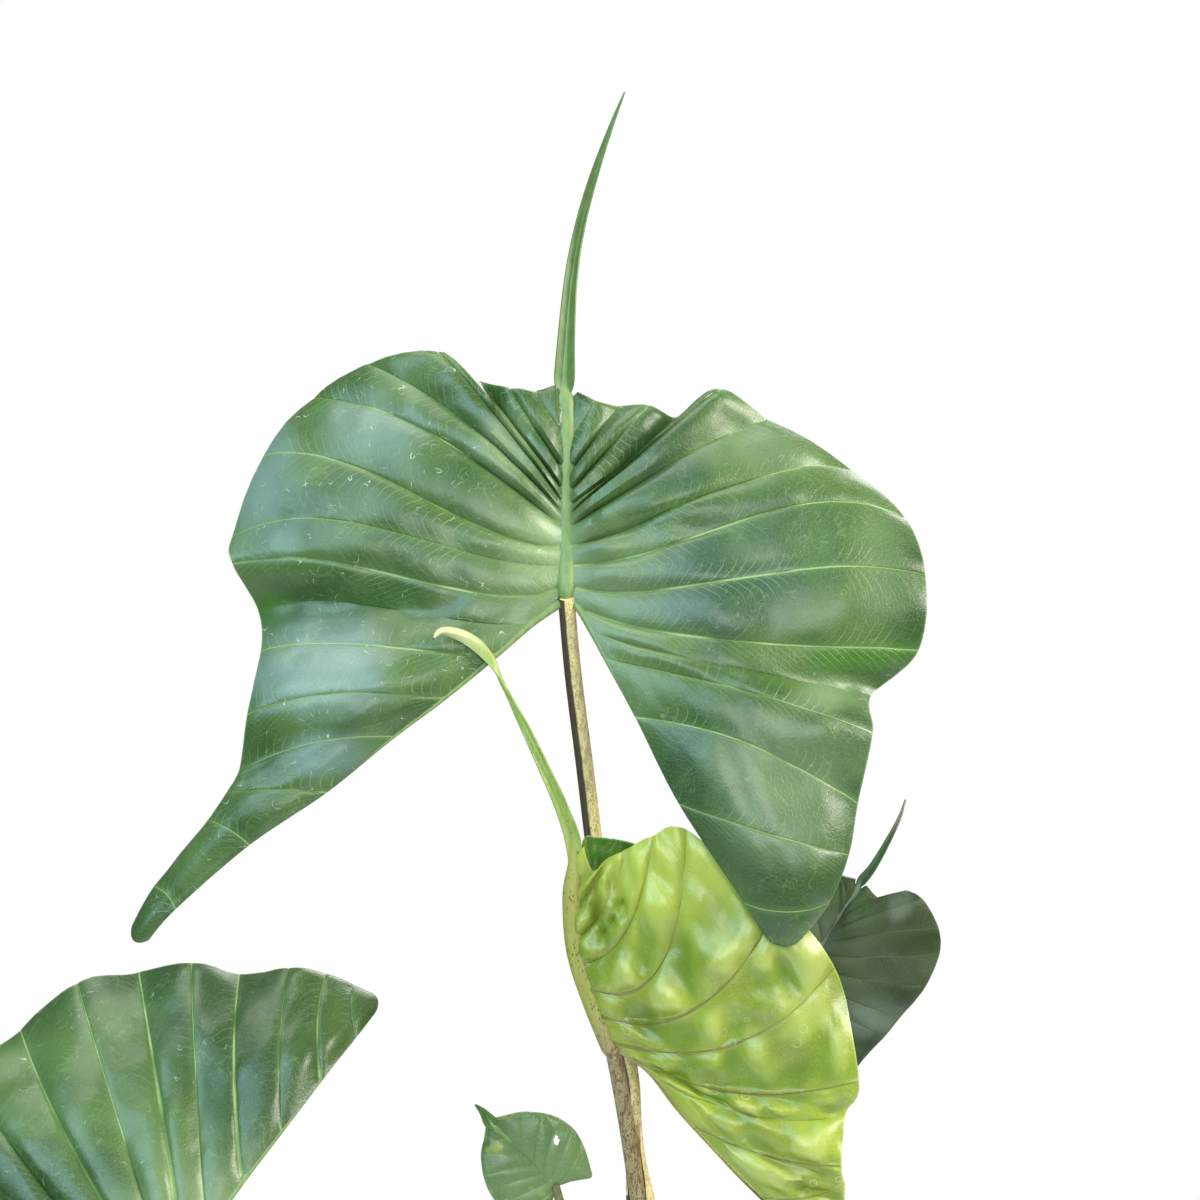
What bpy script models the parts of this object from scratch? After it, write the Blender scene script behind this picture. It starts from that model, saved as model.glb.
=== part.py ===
"""A potted giant taro with long-tailed leaves: a plastic pot, soil, a short stem and five leaves on long stalks.

Frame: metres, +Z up, origin at the middle of the pot's underside, front towards -Y.
Each leaf has a petiole (its stalk) and a blade. A blade is laid out flat in its own millimetres:
u across, v along the midrib towards the tail, w up from the face, with the hub, where the stalk joins, at 0, 0, 0.
A half blade is a fan of rays. A ray runs from the midrib, or from the notch's edge below the hub, out to the
margin, through one middle point, and lies along a vein. Between two veins the blade bulges up by its pleat height.
"""

import math

import bmesh
import bpy
import numpy as np

MM = 0.001
GAP = 0.0004  # clearance between two pieces that meet
MERGE = 0.00001  # points closer than this are one point

# Pot and soil
POT_HEIGHT = 0.190
POT_RIM_RADIUS = 0.105
POT_BASE_RADIUS = 0.078
POT_WALL = 0.0022
POT_FLOOR = 0.0030
POT_RIM_DEPTH = 0.016
POT_RIM_PROUD = 0.0035
POT_SIDES = 40
DRAIN_HOLES = 6
DRAIN_HOLE_RADIUS = 0.006
DRAIN_CIRCLE_RADIUS = 0.050
SOIL_TOP = 0.166
SOIL_HEAP = 0.0040
SOIL_LUMP = 0.0011
SOIL_RINGS = 6

# Stem
STEM_FOOT = 0.105
STEM_TOP = 0.214
STEM_RADIUS = 0.0185
STEM_TOP_RADIUS = 0.0155
STEM_SCARS = 4
STEM_SIDES = 24
CROWN_SOCKET_FLOOR = 0.204
CROWN_SOCKET_RADIUS = 0.0096
CROWN_SOCKET_MIDDLE = (0.0022, 0.0009)

# Blades
BLADE_THICKNESS = 0.9 * MM
STUB_LENGTH = 0.010  # of the stalk's top, which belongs to the blade
RAY_STEPS = (0.0, 0.07, 0.19, 0.36, 0.56, 0.78, 1.0)
SMALL_RAY_STEPS = (0.0, 0.08, 0.22, 0.45, 0.72, 1.0)
STEPS_BETWEEN_RAYS = 2
RIB_INSET = 1.3  # from the notch's edge to the rib beside it, in midrib half widths
RIB_SHARE = (0.66, 0.24)  # the rib's radius at the hub and at the lobe's end, in midrib half widths

# The newest leaf is still half rolled, like a book seen from its spine.
NEW_NEAR_HALF_TURN = math.radians(8)
NEW_FAR_HALF_TURN = math.radians(36)

# Each ray: (start), (middle), (margin), pleat height, all in millimetres.
# The first rays of a half are the lobe's, from its tip to the hub, and the rest leave the midrib.
MAIN_RIGHT = (
    ((83, -141, -15), (91, -145, -14), (98, -141, -16), 0.0),
    ((74, -128, -8), (92, -132, -5), (109, -127, -14), 0.6),
    ((47, -88, 0), (85, -102, 5), (117, -108, -6), 1.2),
    ((29, -52, 3), (73, -64, 11), (121, -87, -2), 1.4),
    ((16, -27, 3), (71, -42, 13), (127, -59, 5), 1.6),
    ((10, -15, 2), (68, -32, 11), (128, -40, -6), 1.6),
    ((4, -4, 0), (74, -21, 9), (148, -21, -4), 1.8),
    ((0, 5, 0), (74, 6, 10), (151, 10, 3), 2.0),
    ((0, 14, 0), (73, 31, 10), (144, 38, -7), 2.4),
    ((0, 22, 0), (56, 41, 11), (122, 60, -11), 3.4),
    ((0, 30, 0), (39, 53, 10), (86, 80, -6), 4.6),
    ((0, 35, 0), (33, 62, 9), (65, 91, 4), 5.6),
    ((0, 39, 0), (25, 57, 3), (47, 81, -5), 6.0),
    ((0, 44, 0), (18, 64, 6), (35, 84, 2), 5.4),
    ((0, 53, 0), (12, 69, 3), (22, 85, -3), 4.0),
    ((0, 68, 0), (7, 77, 2), (12, 86, 2), 1.0),
    ((0, 86, 0), (2, 88, 0), (5, 90, 1), 0.0),
)
MAIN_LEFT = (
    ((174, -141, -24), (180, -141, -24), (181, -134, -26), 0.0),
    ((162, -129, -17), (166, -123, -15), (172, -119, -20), 0.4),
    ((131, -104, -6), (139, -98, -3), (149, -93, -11), 0.8),
    ((99, -83, 0), (121, -82, 4), (141, -82, -7), 1.2),
    ((71, -60, 3), (106, -64, 8), (136, -73, -4), 1.4),
    ((50, -44, 4), (91, -44, 11), (132, -51, 4), 1.6),
    ((28, -25, 3), (78, -23, 9), (128, -22, -5), 1.6),
    ((13, -11, 1), (70, -6, 6), (131, -1, -12), 1.6),
    ((0, 5, 0), (64, 6, 9), (141, 16, 1), 1.8),
    ((0, 14, 0), (70, 25, 11), (142, 29, -2), 2.0),
    ((0, 22, 0), (64, 42, 12), (130, 66, -9), 2.8),
    ((0, 30, 0), (54, 67, 11), (109, 92, -10), 3.6),
    ((0, 35, 0), (43, 75, 9), (85, 105, -4), 4.6),
    ((0, 39, 0), (30, 77, 8), (55, 107, 7), 5.8),
    ((0, 44, 0), (22, 74, 1), (38, 97, -7), 6.0),
    ((0, 53, 0), (14, 74, 4), (24, 90, 3), 5.0),
    ((0, 68, 0), (8, 81, 2), (13, 91, -2), 2.0),
    ((0, 86, 0), (2, 89, 1), (5, 93, 1), 0.0),
)
NEW_HALF = (
    ((93, -93, -6), (97, -97, -6), (98, -92, -7), 0.0),
    ((85, -83, -3), (90, -80, -3), (97, -76, -7), 0.6),
    ((64, -62, 0), (80, -62, 1), (98, -57, -4), 1.2),
    ((36, -33, 1), (67, -44, 3), (97, -47, 3), 1.8),
    ((20, -14, 1), (61, -27, 4), (98, -27, -3), 2.0),
    ((7, -4, 0), (53, -17, 4), (104, -11, 3), 2.2),
    ((-2, 3, 0), (50, 3, 6), (93, 36, -3), 2.4),
    ((-6, 14, 0), (36, 19, 8), (71, 64, 4), 2.6),
    ((-11, 25, 0), (21, 36, 8), (32, 94, 9), 2.8),
    ((-14, 35, 0), (7, 51, 7), (18, 91, 8), 3.0),
    ((-16, 45, 0), (-3, 60, 4), (7, 85, 6), 3.0),
    ((-17, 55, 0), (-9, 67, 2), (-2, 80, 3), 2.4),
    ((-17, 66, 0), (-12, 71, 1), (-8, 75, 2), 1.2),
    ((-15, 82, 0), (-14, 83, 0), (-12, 85, 0), 0.0),
)
NEW_FAR_HALF = (
    *NEW_HALF[:7],
    ((-6, 14, 0), (32, 22, 5), (62, 58, 2), 2.6),
    ((-11, 25, 0), (14, 42, 5), (24, 80, 4), 2.8),
    ((-14, 35, 0), (-2, 56, 4), (7, 86, 4), 3.0),
    ((-16, 45, 0), (-10, 66, 3), (-5, 88, 3), 2.6),
    ((-17, 55, 0), (-13, 72, 2), (-10, 88, 2), 1.8),
    *NEW_HALF[12:],
)
BROAD_HALF = (
    ((108, -78, -10), (114, -80, -10), (119, -77, -12), 0.0),
    ((95, -70, -5), (109, -68, -3), (122, -70, -9), 0.8),
    ((73, -54, 0), (101, -54, 4), (126, -58, -4), 1.4),
    ((50, -37, 3), (90, -38, 8), (128, -42, 1), 1.8),
    ((29, -20, 2), (78, -18, 9), (130, -20, -5), 2.0),
    ((9, -5, 0), (69, -2, 9), (133, 0, 2), 2.2),
    ((0, 5, 0), (69, 14, 10), (134, 24, -7), 2.4),
    ((0, 14, 0), (65, 33, 10), (128, 50, 1), 2.8),
    ((0, 24, 0), (55, 54, 10), (112, 76, -8), 3.4),
    ((0, 34, 0), (42, 70, 8), (88, 96, 2), 4.0),
    ((0, 44, 0), (28, 79, 5), (60, 105, -4), 4.0),
    ((0, 60, 0), (15, 86, 3), (34, 108, 3), 2.8),
    ((0, 84, 0), (4, 97, 1), (9, 105, 0), 0.0),
)
BACK_HALF = (
    ((39, -28, -3), (42, -29, -3), (44, -27, -4), 0.0),
    ((27, -18, 0), (36, -18, 1), (45, -18, -2), 0.5),
    ((14, -9, 1), (29, -8, 3), (47, -7, 1), 0.8),
    ((3, -2, 0), (25, 0, 4), (49, 5, -2), 0.9),
    ((0, 3, 0), (26, 12, 4), (51, 24, 2), 1.0),
    ((0, 9, 0), (22, 22, 4), (49, 40, -3), 1.2),
    ((0, 15, 0), (18, 32, 3), (42, 50, 1), 1.4),
    ((0, 21, 0), (12, 39, 3), (30, 57, -3), 1.5),
    ((0, 28, 0), (8, 43, 2), (20, 57, 3), 1.5),
    ((0, 35, 0), (5, 43, 1), (13, 47, -3), 0.8),
    ((0, 44, 0), (1.5, 46, 0), (3, 49, 0), 0.0),
)
SMALL_HALF = (
    ((12, -9, -2), (14, -10, -2), (15.5, -8, -3), 0.0),
    ((6, -4, 0), (13, -3, 1), (19, -2, -1), 0.4),
    ((1, -1, 0), (12, 1, 2), (22, 5, 0), 0.6),
    ((0, 3, 0), (12, 8, 2), (23.5, 12, 1), 0.7),
    ((0, 8, 0), (11, 15, 2), (22.5, 19, -1), 0.8),
    ((0, 14, 0), (9, 21, 2), (19, 27, 1), 0.9),
    ((0, 21, 0), (6, 28, 1), (13, 34, -1), 0.8),
    ((0, 29, 0), (3, 34, 0), (6, 39, 0), 0.5),
    ((0, 38, 0), (0.8, 40, 0), (1.8, 42, 0), 0.0),
)

# Midrib and tail: (u, v, w, radius) in millimetres, from the hub out to the tail's tip.
MAIN_MIDRIB = (
    (0, -2, -2.2, 3.6),
    (0, 30, -1.8, 3.3),
    (0, 65, -1.4, 3.2),
    (-1, 92, -0.6, 3.4),
    (0, 116, -1.0, 2.7),
    (2, 142, -2.0, 2.3),
    (6, 166, -4.0, 2.1),
    (12, 190, -7.0, 2.0),
    (19, 214, -10.0, 1.3),
    (25, 234, -13.0, 0.5),
)
NEW_MIDRIB = (
    (0, -2, -1.5, 3.2),
    (-8, 18, -1.6, 3.1),
    (-15, 40, -1.6, 3.0),
    (-17, 62, -1.4, 2.8),
    (-16, 84, -0.8, 2.7),
    (-21, 101, 0.0, 2.3),
    (-29, 120, 2.0, 2.0),
    (-38, 140, 4.0, 1.6),
    (-46, 158, 7.0, 1.1),
    (-54, 170, 10.0, 1.7),
    (-64, 175, 14.0, 1.4),
    (-74, 176, 18.0, 0.7),
)
BROAD_MIDRIB = (
    (0, -2, -2.2, 3.5),
    (0, 35, -1.8, 3.2),
    (0, 75, -1.4, 3.0),
    (0, 106, -0.6, 3.3),
    (2, 128, -1.0, 2.5),
    (5, 150, -3.0, 2.0),
    (10, 172, -7.0, 1.4),
    (16, 192, -12.0, 0.6),
)

BACK_MIDRIB = (
    (0, -2, -1.4, 2.3),
    (0, 20, -1.0, 1.9),
    (0, 42, -0.6, 1.8),
    (1, 56, -0.6, 1.6),
    (1, 70, -2.0, 1.2),
    (0, 84, -4.0, 0.8),
    (-2, 93, -6.0, 0.4),
)
SMALL_MIDRIB = (
    (0, -1, -1.2, 1.8),
    (0, 18, -0.8, 1.4),
    (0, 38, -0.3, 1.1),
    (0, 45, -0.6, 0.8),
    (1, 52, -1.2, 0.4),
)

# Hubs, in metres: where each stalk meets its blade.
HUB_MAIN = (-0.052, 0.000, 0.654)
HUB_NEW = (-0.0326, -0.020, 0.4655)
HUB_LOWER = (-0.206, -0.050, 0.385)
HUB_BACK = (0.0585, 0.130, 0.459)
HUB_SMALL = (-0.058, 0.060, 0.3785)

# Stalks: points in metres from the stem up to the hub, and the radius at the foot and at the hub.
PATH_MAIN = (
    (0.0040, 0.0060, 0.2050),
    (-0.0040, 0.0055, 0.2800),
    (-0.0150, 0.0040, 0.3650),
    (-0.0215, 0.0060, 0.4200),
    (-0.0292, 0.0150, 0.4700),
    (-0.0385, 0.0200, 0.5300),
    (-0.0445, 0.0165, 0.5800),
    (-0.0492, 0.0080, 0.6200),
    HUB_MAIN,
)
PATH_NEW = (
    (0.0016, -0.0010, 0.2050),
    (-0.0064, -0.0015, 0.2800),
    (-0.0176, -0.0030, 0.3650),
    (-0.0245, -0.0048, 0.4150),
    (-0.0290, -0.0110, 0.4440),
    HUB_NEW,
)
PATH_LOWER = (
    (-0.0080, -0.0030, 0.1850),
    (-0.0260, -0.0080, 0.2080),
    (-0.0620, -0.0180, 0.2750),
    (-0.1080, -0.0280, 0.3280),
    (-0.1600, -0.0380, 0.3600),
    HUB_LOWER,
)
PATH_BACK = (
    (0.0080, 0.0060, 0.1900),
    (0.0230, 0.0180, 0.2180),
    (0.0420, 0.0550, 0.3000),
    (0.0540, 0.0950, 0.3850),
    HUB_BACK,
)
PATH_SMALL = (
    (-0.0060, 0.0080, 0.1900),
    (-0.0170, 0.0230, 0.2150),
    (-0.0330, 0.0400, 0.2900),
    HUB_SMALL,
)

OUTER_STALKS = (
    (PATH_LOWER, 0.0062, 0.0034),
    (PATH_BACK, 0.0048, 0.0024),
    (PATH_SMALL, 0.0040, 0.0020),
)
STALK_SPACING = 0.014

# The main stalk's foot is a sheath that wraps the new leaf's stalk.
SHEATH_TOP = 0.445
SHEATH_FADE = 0.070  # height over which the sheath grows out of the round stalk
SHEATH_WRAP_TOP = math.radians(60)
SHEATH_WRAP_FOOT = math.radians(150)
SHEATH_FACING = (-0.35, -0.94, 0)
SHEATH_BACK = 0.0046
SHEATH_LIP = 0.0012

COLOURS = {
    "pot_plastic": ((0.030, 0.032, 0.034), 0.45),
    "soil": ((0.060, 0.038, 0.024), 0.95),
    "stem": ((0.160, 0.105, 0.050), 0.75),
    "stalk": ((0.260, 0.190, 0.080), 0.50),
    "new_stalk": ((0.330, 0.300, 0.100), 0.50),
    "leaf": ((0.070, 0.180, 0.060), 0.35),
    "new_leaf": ((0.330, 0.520, 0.060), 0.30),
    "back_leaf": ((0.035, 0.090, 0.045), 0.35),
}


def clear_scene():
    for thing in list(bpy.data.objects):
        bpy.data.objects.remove(thing)


def material(name):
    found = bpy.data.materials.get(name)
    if found:
        return found
    colour, roughness = COLOURS[name]
    made = bpy.data.materials.new(name)
    made.use_nodes = True
    shader = made.node_tree.nodes["Principled BSDF"]
    shader.inputs["Base Color"].default_value = (*colour, 1.0)
    shader.inputs["Roughness"].default_value = roughness
    return made


def add_object(name, data, finish):
    made = bpy.data.objects.new(name, data)
    bpy.context.scene.collection.objects.link(made)
    data.materials.append(material(finish))
    return made


def add_mesh(name, bm, finish):
    """Closes off a bmesh as an object whose faces point out and whose shallow edges are smooth."""
    bmesh.ops.recalc_face_normals(bm, faces=bm.faces)
    mesh = bpy.data.meshes.new(name)
    bm.to_mesh(mesh)
    bm.free()
    mesh.shade_smooth()
    mesh.set_sharp_from_angle(angle=math.radians(40))
    return add_object(name, mesh, finish)


def apply_modifier(thing, modifier):
    bpy.context.view_layer.objects.active = thing
    bpy.ops.object.modifier_apply(modifier=modifier.name)


def boolean(base, others, operation, solver="EXACT"):
    """Joins others into base, or cuts them from it, by one Boolean on a collection, and removes them."""
    group = bpy.data.collections.new("operands")
    bpy.context.scene.collection.children.link(group)
    for other in others:
        other.hide_render = True
        other.display_type = "WIRE"
        other.users_collection[0].objects.unlink(other)
        group.objects.link(other)
    modifier = base.modifiers.new("boolean", "BOOLEAN")
    modifier.operation = operation
    modifier.operand_type = "COLLECTION"
    modifier.collection = group
    modifier.solver = solver
    apply_modifier(base, modifier)
    for other in others:
        bpy.data.objects.remove(other)
    bpy.data.collections.remove(group)
    return base


def unit(vector):
    vector = np.asarray(vector, float)
    return vector / np.linalg.norm(vector)


def through(points, places):
    """Catmull-Rom values of rows of points at places, where row i is at place i."""
    points = np.asarray(points, float)
    last = len(points) - 1
    places = np.clip(np.asarray(places, float), 0, last)
    low = np.minimum(places.astype(int), last - 1)
    x = (places - low).reshape((-1,) + (1,) * (points.ndim - 1))
    p0, p1 = points[np.maximum(low - 1, 0)], points[low]
    p2, p3 = points[low + 1], points[np.minimum(low + 2, last)]
    bend = 2 * p1 + (p2 - p0) * x + (2 * p0 - 5 * p1 + 4 * p2 - p3) * x**2 + (3 * p1 - p0 - 3 * p2 + p3) * x**3
    return 0.5 * bend


def lengths(points):
    """Distance along a line of points, at each point."""
    return np.concatenate([[0], np.cumsum(np.linalg.norm(np.diff(points, axis=0), axis=1))])


def curve(points, spacing):
    """Evenly spaced points on the smooth curve through points."""
    fine = through(points, np.linspace(0, len(points) - 1, 40 * len(points)))
    along = lengths(fine)
    even = np.linspace(0, along[-1], max(3, round(along[-1] / spacing) + 1))
    return np.stack([np.interp(even, along, fine[:, k]) for k in range(3)], 1)


def stretch(points, start, end):
    """The part of a line of points from start to end along it, counted from the far end where not positive."""
    along = lengths(points)
    start = start if start >= 0 else along[-1] + start
    end = end if end > 0 else along[-1] + end
    inside = along[(along > start + 1e-4) & (along < end - 1e-4)]
    return np.stack([np.interp([start, *inside, end], along, points[:, k]) for k in range(3)], 1)


def rod(name, points, radii, finish, bevel_resolution=3):
    """A round rod along points, with a radius at each: a bevelled curve with filled ends."""
    data = bpy.data.curves.new(name, "CURVE")
    data.dimensions = "3D"
    data.bevel_depth = 1.0
    data.bevel_resolution = bevel_resolution
    data.use_fill_caps = True
    spline = data.splines.new("POLY")
    spline.points.add(len(points) - 1)
    spline.use_smooth = True
    for point, place, radius in zip(spline.points, points, radii):
        point.co = (*place, 1.0)
        point.radius = radius
    return add_object(name, data, finish)


def solid_rod(name, points, radii, finish, bevel_resolution=3):
    """A rod turned into a closed mesh, for a Boolean."""
    drawn = rod(name, points, radii, finish, bevel_resolution)
    bm = bmesh.new()
    bm.from_mesh(bpy.data.meshes.new_from_object(drawn.evaluated_get(bpy.context.evaluated_depsgraph_get())))
    bmesh.ops.remove_doubles(bm, verts=bm.verts, dist=MERGE)
    bmesh.ops.triangulate(bm, faces=bm.faces)
    bpy.data.objects.remove(drawn)
    return add_mesh(name, bm, finish)


def cylinder(name, middle, radius, depth, sides, finish):
    bpy.ops.mesh.primitive_cylinder_add(vertices=sides, radius=radius, depth=depth, location=middle)
    made = bpy.context.object
    made.name = name
    made.data.materials.append(material(finish))
    return made


def turned(profile, sides):
    """A bmesh of a closed profile of (radius, z), with both its ends on the axis, spun round Z."""
    bm = bmesh.new()
    points = [bm.verts.new((radius, 0, z)) for radius, z in profile]
    edges = [bm.edges.new(pair) for pair in zip(points, points[1:])]
    bmesh.ops.spin(
        bm, geom=points + edges, cent=(0, 0, 0), axis=(0, 0, 1), angle=2 * math.pi, steps=sides, use_merge=True
    )
    bmesh.ops.remove_doubles(bm, verts=bm.verts, dist=MERGE)
    return bm


def half_blade(rays, steps_between, ray_steps):
    """Grid of (u, v, w) points in millimetres: rows follow the rays, columns run out along them."""
    table = np.array([[start, middle, margin] for start, middle, margin, _ in rays], float)
    pleats = np.array([pleat for *_, pleat in rays])
    places = np.linspace(0, len(rays) - 1, (len(rays) - 1) * steps_between + 1)
    ends = through(table, places)
    t = np.asarray(ray_steps)[None, :, None]
    start, middle, margin = (ends[:, k][:, None, :] for k in range(3))
    grid = start * (2 * t**2 - 3 * t + 1) + middle * (4 * t - 4 * t**2) + margin * (2 * t**2 - t)
    height = np.maximum(through(pleats, places), 0)
    bulge = np.abs(np.sin(math.pi * places)) - 0.5
    reach = np.clip(t[0, :, 0] / 0.12, 0, 1) * (1 - 0.65 * t[0, :, 0])
    grid[:, :, 2] += (height * bulge)[:, None] * reach[None, :]
    return grid


class Leaf:
    """Places a flat leaf's millimetres in the world. Each half may be turned about the midrib."""

    def __init__(self, hub, tip, face, turns=(0.0, math.pi), midrib=((0, 0), (0, 1))):
        self.hub = np.asarray(hub, float)
        self.tip = unit(tip)
        self.face = unit(np.asarray(face, float) - np.dot(face, self.tip) * self.tip)
        self.right = np.cross(self.tip, self.face)
        self.turns, self.midrib = turns, np.asarray(midrib, float)

    def place(self, points, half):
        """World points of (u, v, w) on the right half (0) or the left half (1), with u outward from the midrib."""
        points = np.asarray(points, float)
        u, v, w = points[..., 0], points[..., 1], points[..., 2]
        pivot = np.interp(v, self.midrib[:, 1], self.midrib[:, 0])
        turn = self.turns[half]
        outward = math.cos(turn) * self.right - math.sin(turn) * self.face
        side = 1 if half == 0 else -1
        lift = side * (math.cos(turn) * self.face + math.sin(turn) * self.right)
        return self.hub + MM * (
            pivot[..., None] * self.right
            + (u - pivot)[..., None] * outward
            + v[..., None] * self.tip
            + w[..., None] * lift
        )


def sheet(name, leaf, halves, steps_between, ray_steps, finish):
    """The thin blade: both halves' grids joined down the midrib and made BLADE_THICKNESS thick."""
    bm = bmesh.new()
    for half, rays in enumerate(halves):
        grid = leaf.place(half_blade(rays, steps_between, ray_steps), half)
        rows = [[bm.verts.new(point) for point in row] for row in grid]
        for near, far in zip(rows, rows[1:]):
            for k in range(len(near) - 1):
                for corners in ((near[k], near[k + 1], far[k + 1]), (near[k], far[k + 1], far[k])):
                    bm.faces.new(corners if half == 0 else corners[::-1])
    bmesh.ops.remove_doubles(bm, verts=bm.verts, dist=2 * MERGE)
    blade = add_mesh(name, bm, finish)
    thickness = blade.modifiers.new("thickness", "SOLIDIFY")
    thickness.thickness = BLADE_THICKNESS
    thickness.offset = 0
    apply_modifier(blade, thickness)
    return blade


def lobe_rib(name, leaf, half, rays, lobe_rays, thick, finish):
    """The strong rib that runs out to a lobe, a little inside the notch's edge and proud of the underside."""
    points = [np.array([0.5, 0.4, -0.4]) * thick]
    for start, middle, _, _ in rays[lobe_rays - 1 : 0 : -1]:
        start, middle = np.asarray(start, float), np.asarray(middle, float)
        points.append(start + RIB_INSET * thick * unit(middle - start) + (0, 0, -0.22 * thick))
    line = leaf.place(through(points, np.linspace(0, len(points) - 1, 2 * len(points))), half)
    return solid_rod(name, line, np.linspace(*RIB_SHARE, len(line)) * thick * MM, finish, 1)


def midrib(name, leaf, table, finish):
    """The midrib, sunk in the underside, which runs on past the blade as the tail."""
    table = np.asarray(table, float)
    table = through(table, np.linspace(0, len(table) - 1, 2 * len(table) - 1))
    line = leaf.hub + MM * (table[:, [0]] * leaf.right + table[:, [1]] * leaf.tip + table[:, [2]] * leaf.face)
    return solid_rod(name, line, table[:, 3] * MM, finish, 2)


def blade(name, leaf, halves, lobe_rays, midrib_table, path, stalk_top, finish, small=False):
    """A blade with its midrib, tail, lobe ribs and the top end of its stalk, as one body."""
    steps, ray_steps = (1, SMALL_RAY_STEPS) if small else (STEPS_BETWEEN_RAYS, RAY_STEPS)
    made = sheet(name, leaf, halves, steps, ray_steps, finish)
    stub = stretch(curve(path, 0.004), -STUB_LENGTH, 0)
    thick = midrib_table[0][3]
    parts = [
        *(lobe_rib(f"lobe_rib_{k}", leaf, k, halves[k], lobe_rays[k], thick, finish) for k in (0, 1)),
        midrib("midrib", leaf, midrib_table, finish),
        solid_rod("stub", stub, np.full(len(stub), stalk_top), finish),
    ]
    return boolean(made, parts, "UNION", "MANIFOLD")


def stalk_line(path, spacing=STALK_SPACING):
    """A stalk's middle line, up to just short of the blade's stub."""
    return stretch(curve(path, spacing), 0, -(STUB_LENGTH + GAP))


def stalk_radii(count, foot, top):
    """A stalk tapers fast out of its broad foot and then slowly to the hub."""
    x = np.linspace(0, 1, count)
    return top + (foot - top) * (0.55 * (1 - x) + 0.45 * np.exp(-x / 0.12))


def petiole(name, path, foot, top):
    line = stalk_line(path)
    return rod(name, line, stalk_radii(len(line), foot, top), "stalk")


def new_stalk_radius(z):
    return float(np.interp(z, (0.20, 0.30, 0.44, 0.47), (0.0044, 0.0040, 0.0034, 0.0031)))


def new_petiole():
    line = stalk_line(PATH_NEW)
    return rod("petiole_new", line, [new_stalk_radius(z) for z in line[:, 2]], "new_stalk", 4)


def sheath_section(z, distance, sides):
    """The main stalk's outline at height z, as (across, out) from its middle line.

    distance is how far out the new leaf's stalk is. Above the sheath the outline is round. Down to the sheath it
    becomes a crescent in front of which that stalk lies, and then a C whose arms close round it.
    """
    radius = float(np.interp(z, (0.20, 0.45, 0.66), (0.0045, 0.0041, 0.0035)))
    grown = (SHEATH_TOP - z) / SHEATH_FADE
    share = float(np.clip(2 * grown, 0, 1))
    wrap = SHEATH_WRAP_TOP + float(np.clip(2 * grown - 1, 0, 1)) * (SHEATH_WRAP_FOOT - SHEATH_WRAP_TOP)
    groove = new_stalk_radius(z) + 2 * GAP
    back = np.linspace(-0.5, 0.5, sides // 2)
    wall = SHEATH_LIP + (SHEATH_BACK - SHEATH_LIP) * np.cos(math.pi * back) ** 1.5
    outer, inner = 2 * wrap * back, 2 * wrap * back[::-1]
    crescent = np.concatenate([
        np.stack([(groove + wall) * np.sin(outer), distance - (groove + wall) * np.cos(outer)], 1),
        np.stack([groove * np.sin(inner), distance - groove * np.cos(inner)], 1),
    ])
    behind, before = math.pi * back * (1 - 2 / sides), math.pi * back[::-1] * (1 - 2 / sides)
    plain = radius * np.concatenate([
        np.stack([np.sin(behind), -np.cos(behind)], 1),
        np.stack([np.sin(before), np.cos(before)], 1),
    ])
    return (1 - share) * plain + share * crescent


def main_petiole(sides=16):
    """The main stalk: round above, and below a sheath round the new leaf's stalk."""
    line = stalk_line(PATH_MAIN)
    inner = curve(PATH_NEW, 0.004)
    bm = bmesh.new()
    rings = []
    for point, tangent in zip(line, np.gradient(line, axis=0)):
        z = point[2]
        beside = np.array([np.interp(z, inner[:, 2], inner[:, 0]), np.interp(z, inner[:, 2], inner[:, 1]), z])
        out = beside - point if z < SHEATH_TOP else np.array(SHEATH_FACING)
        across = unit(np.cross(tangent, out))
        forward = unit(np.cross(across, tangent))
        section = sheath_section(z, np.linalg.norm(out), sides)
        rings.append([bm.verts.new(point + a * across + b * forward) for a, b in section])
    for low, high in zip(rings, rings[1:]):
        for k in range(sides):
            bm.faces.new((low[k - 1], low[k], high[k], high[k - 1]))
    bm.faces.new(rings[0])
    bm.faces.new(rings[-1])
    bmesh.ops.triangulate(bm, faces=bm.faces)
    return add_mesh("petiole_main", bm, "stalk")


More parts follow.
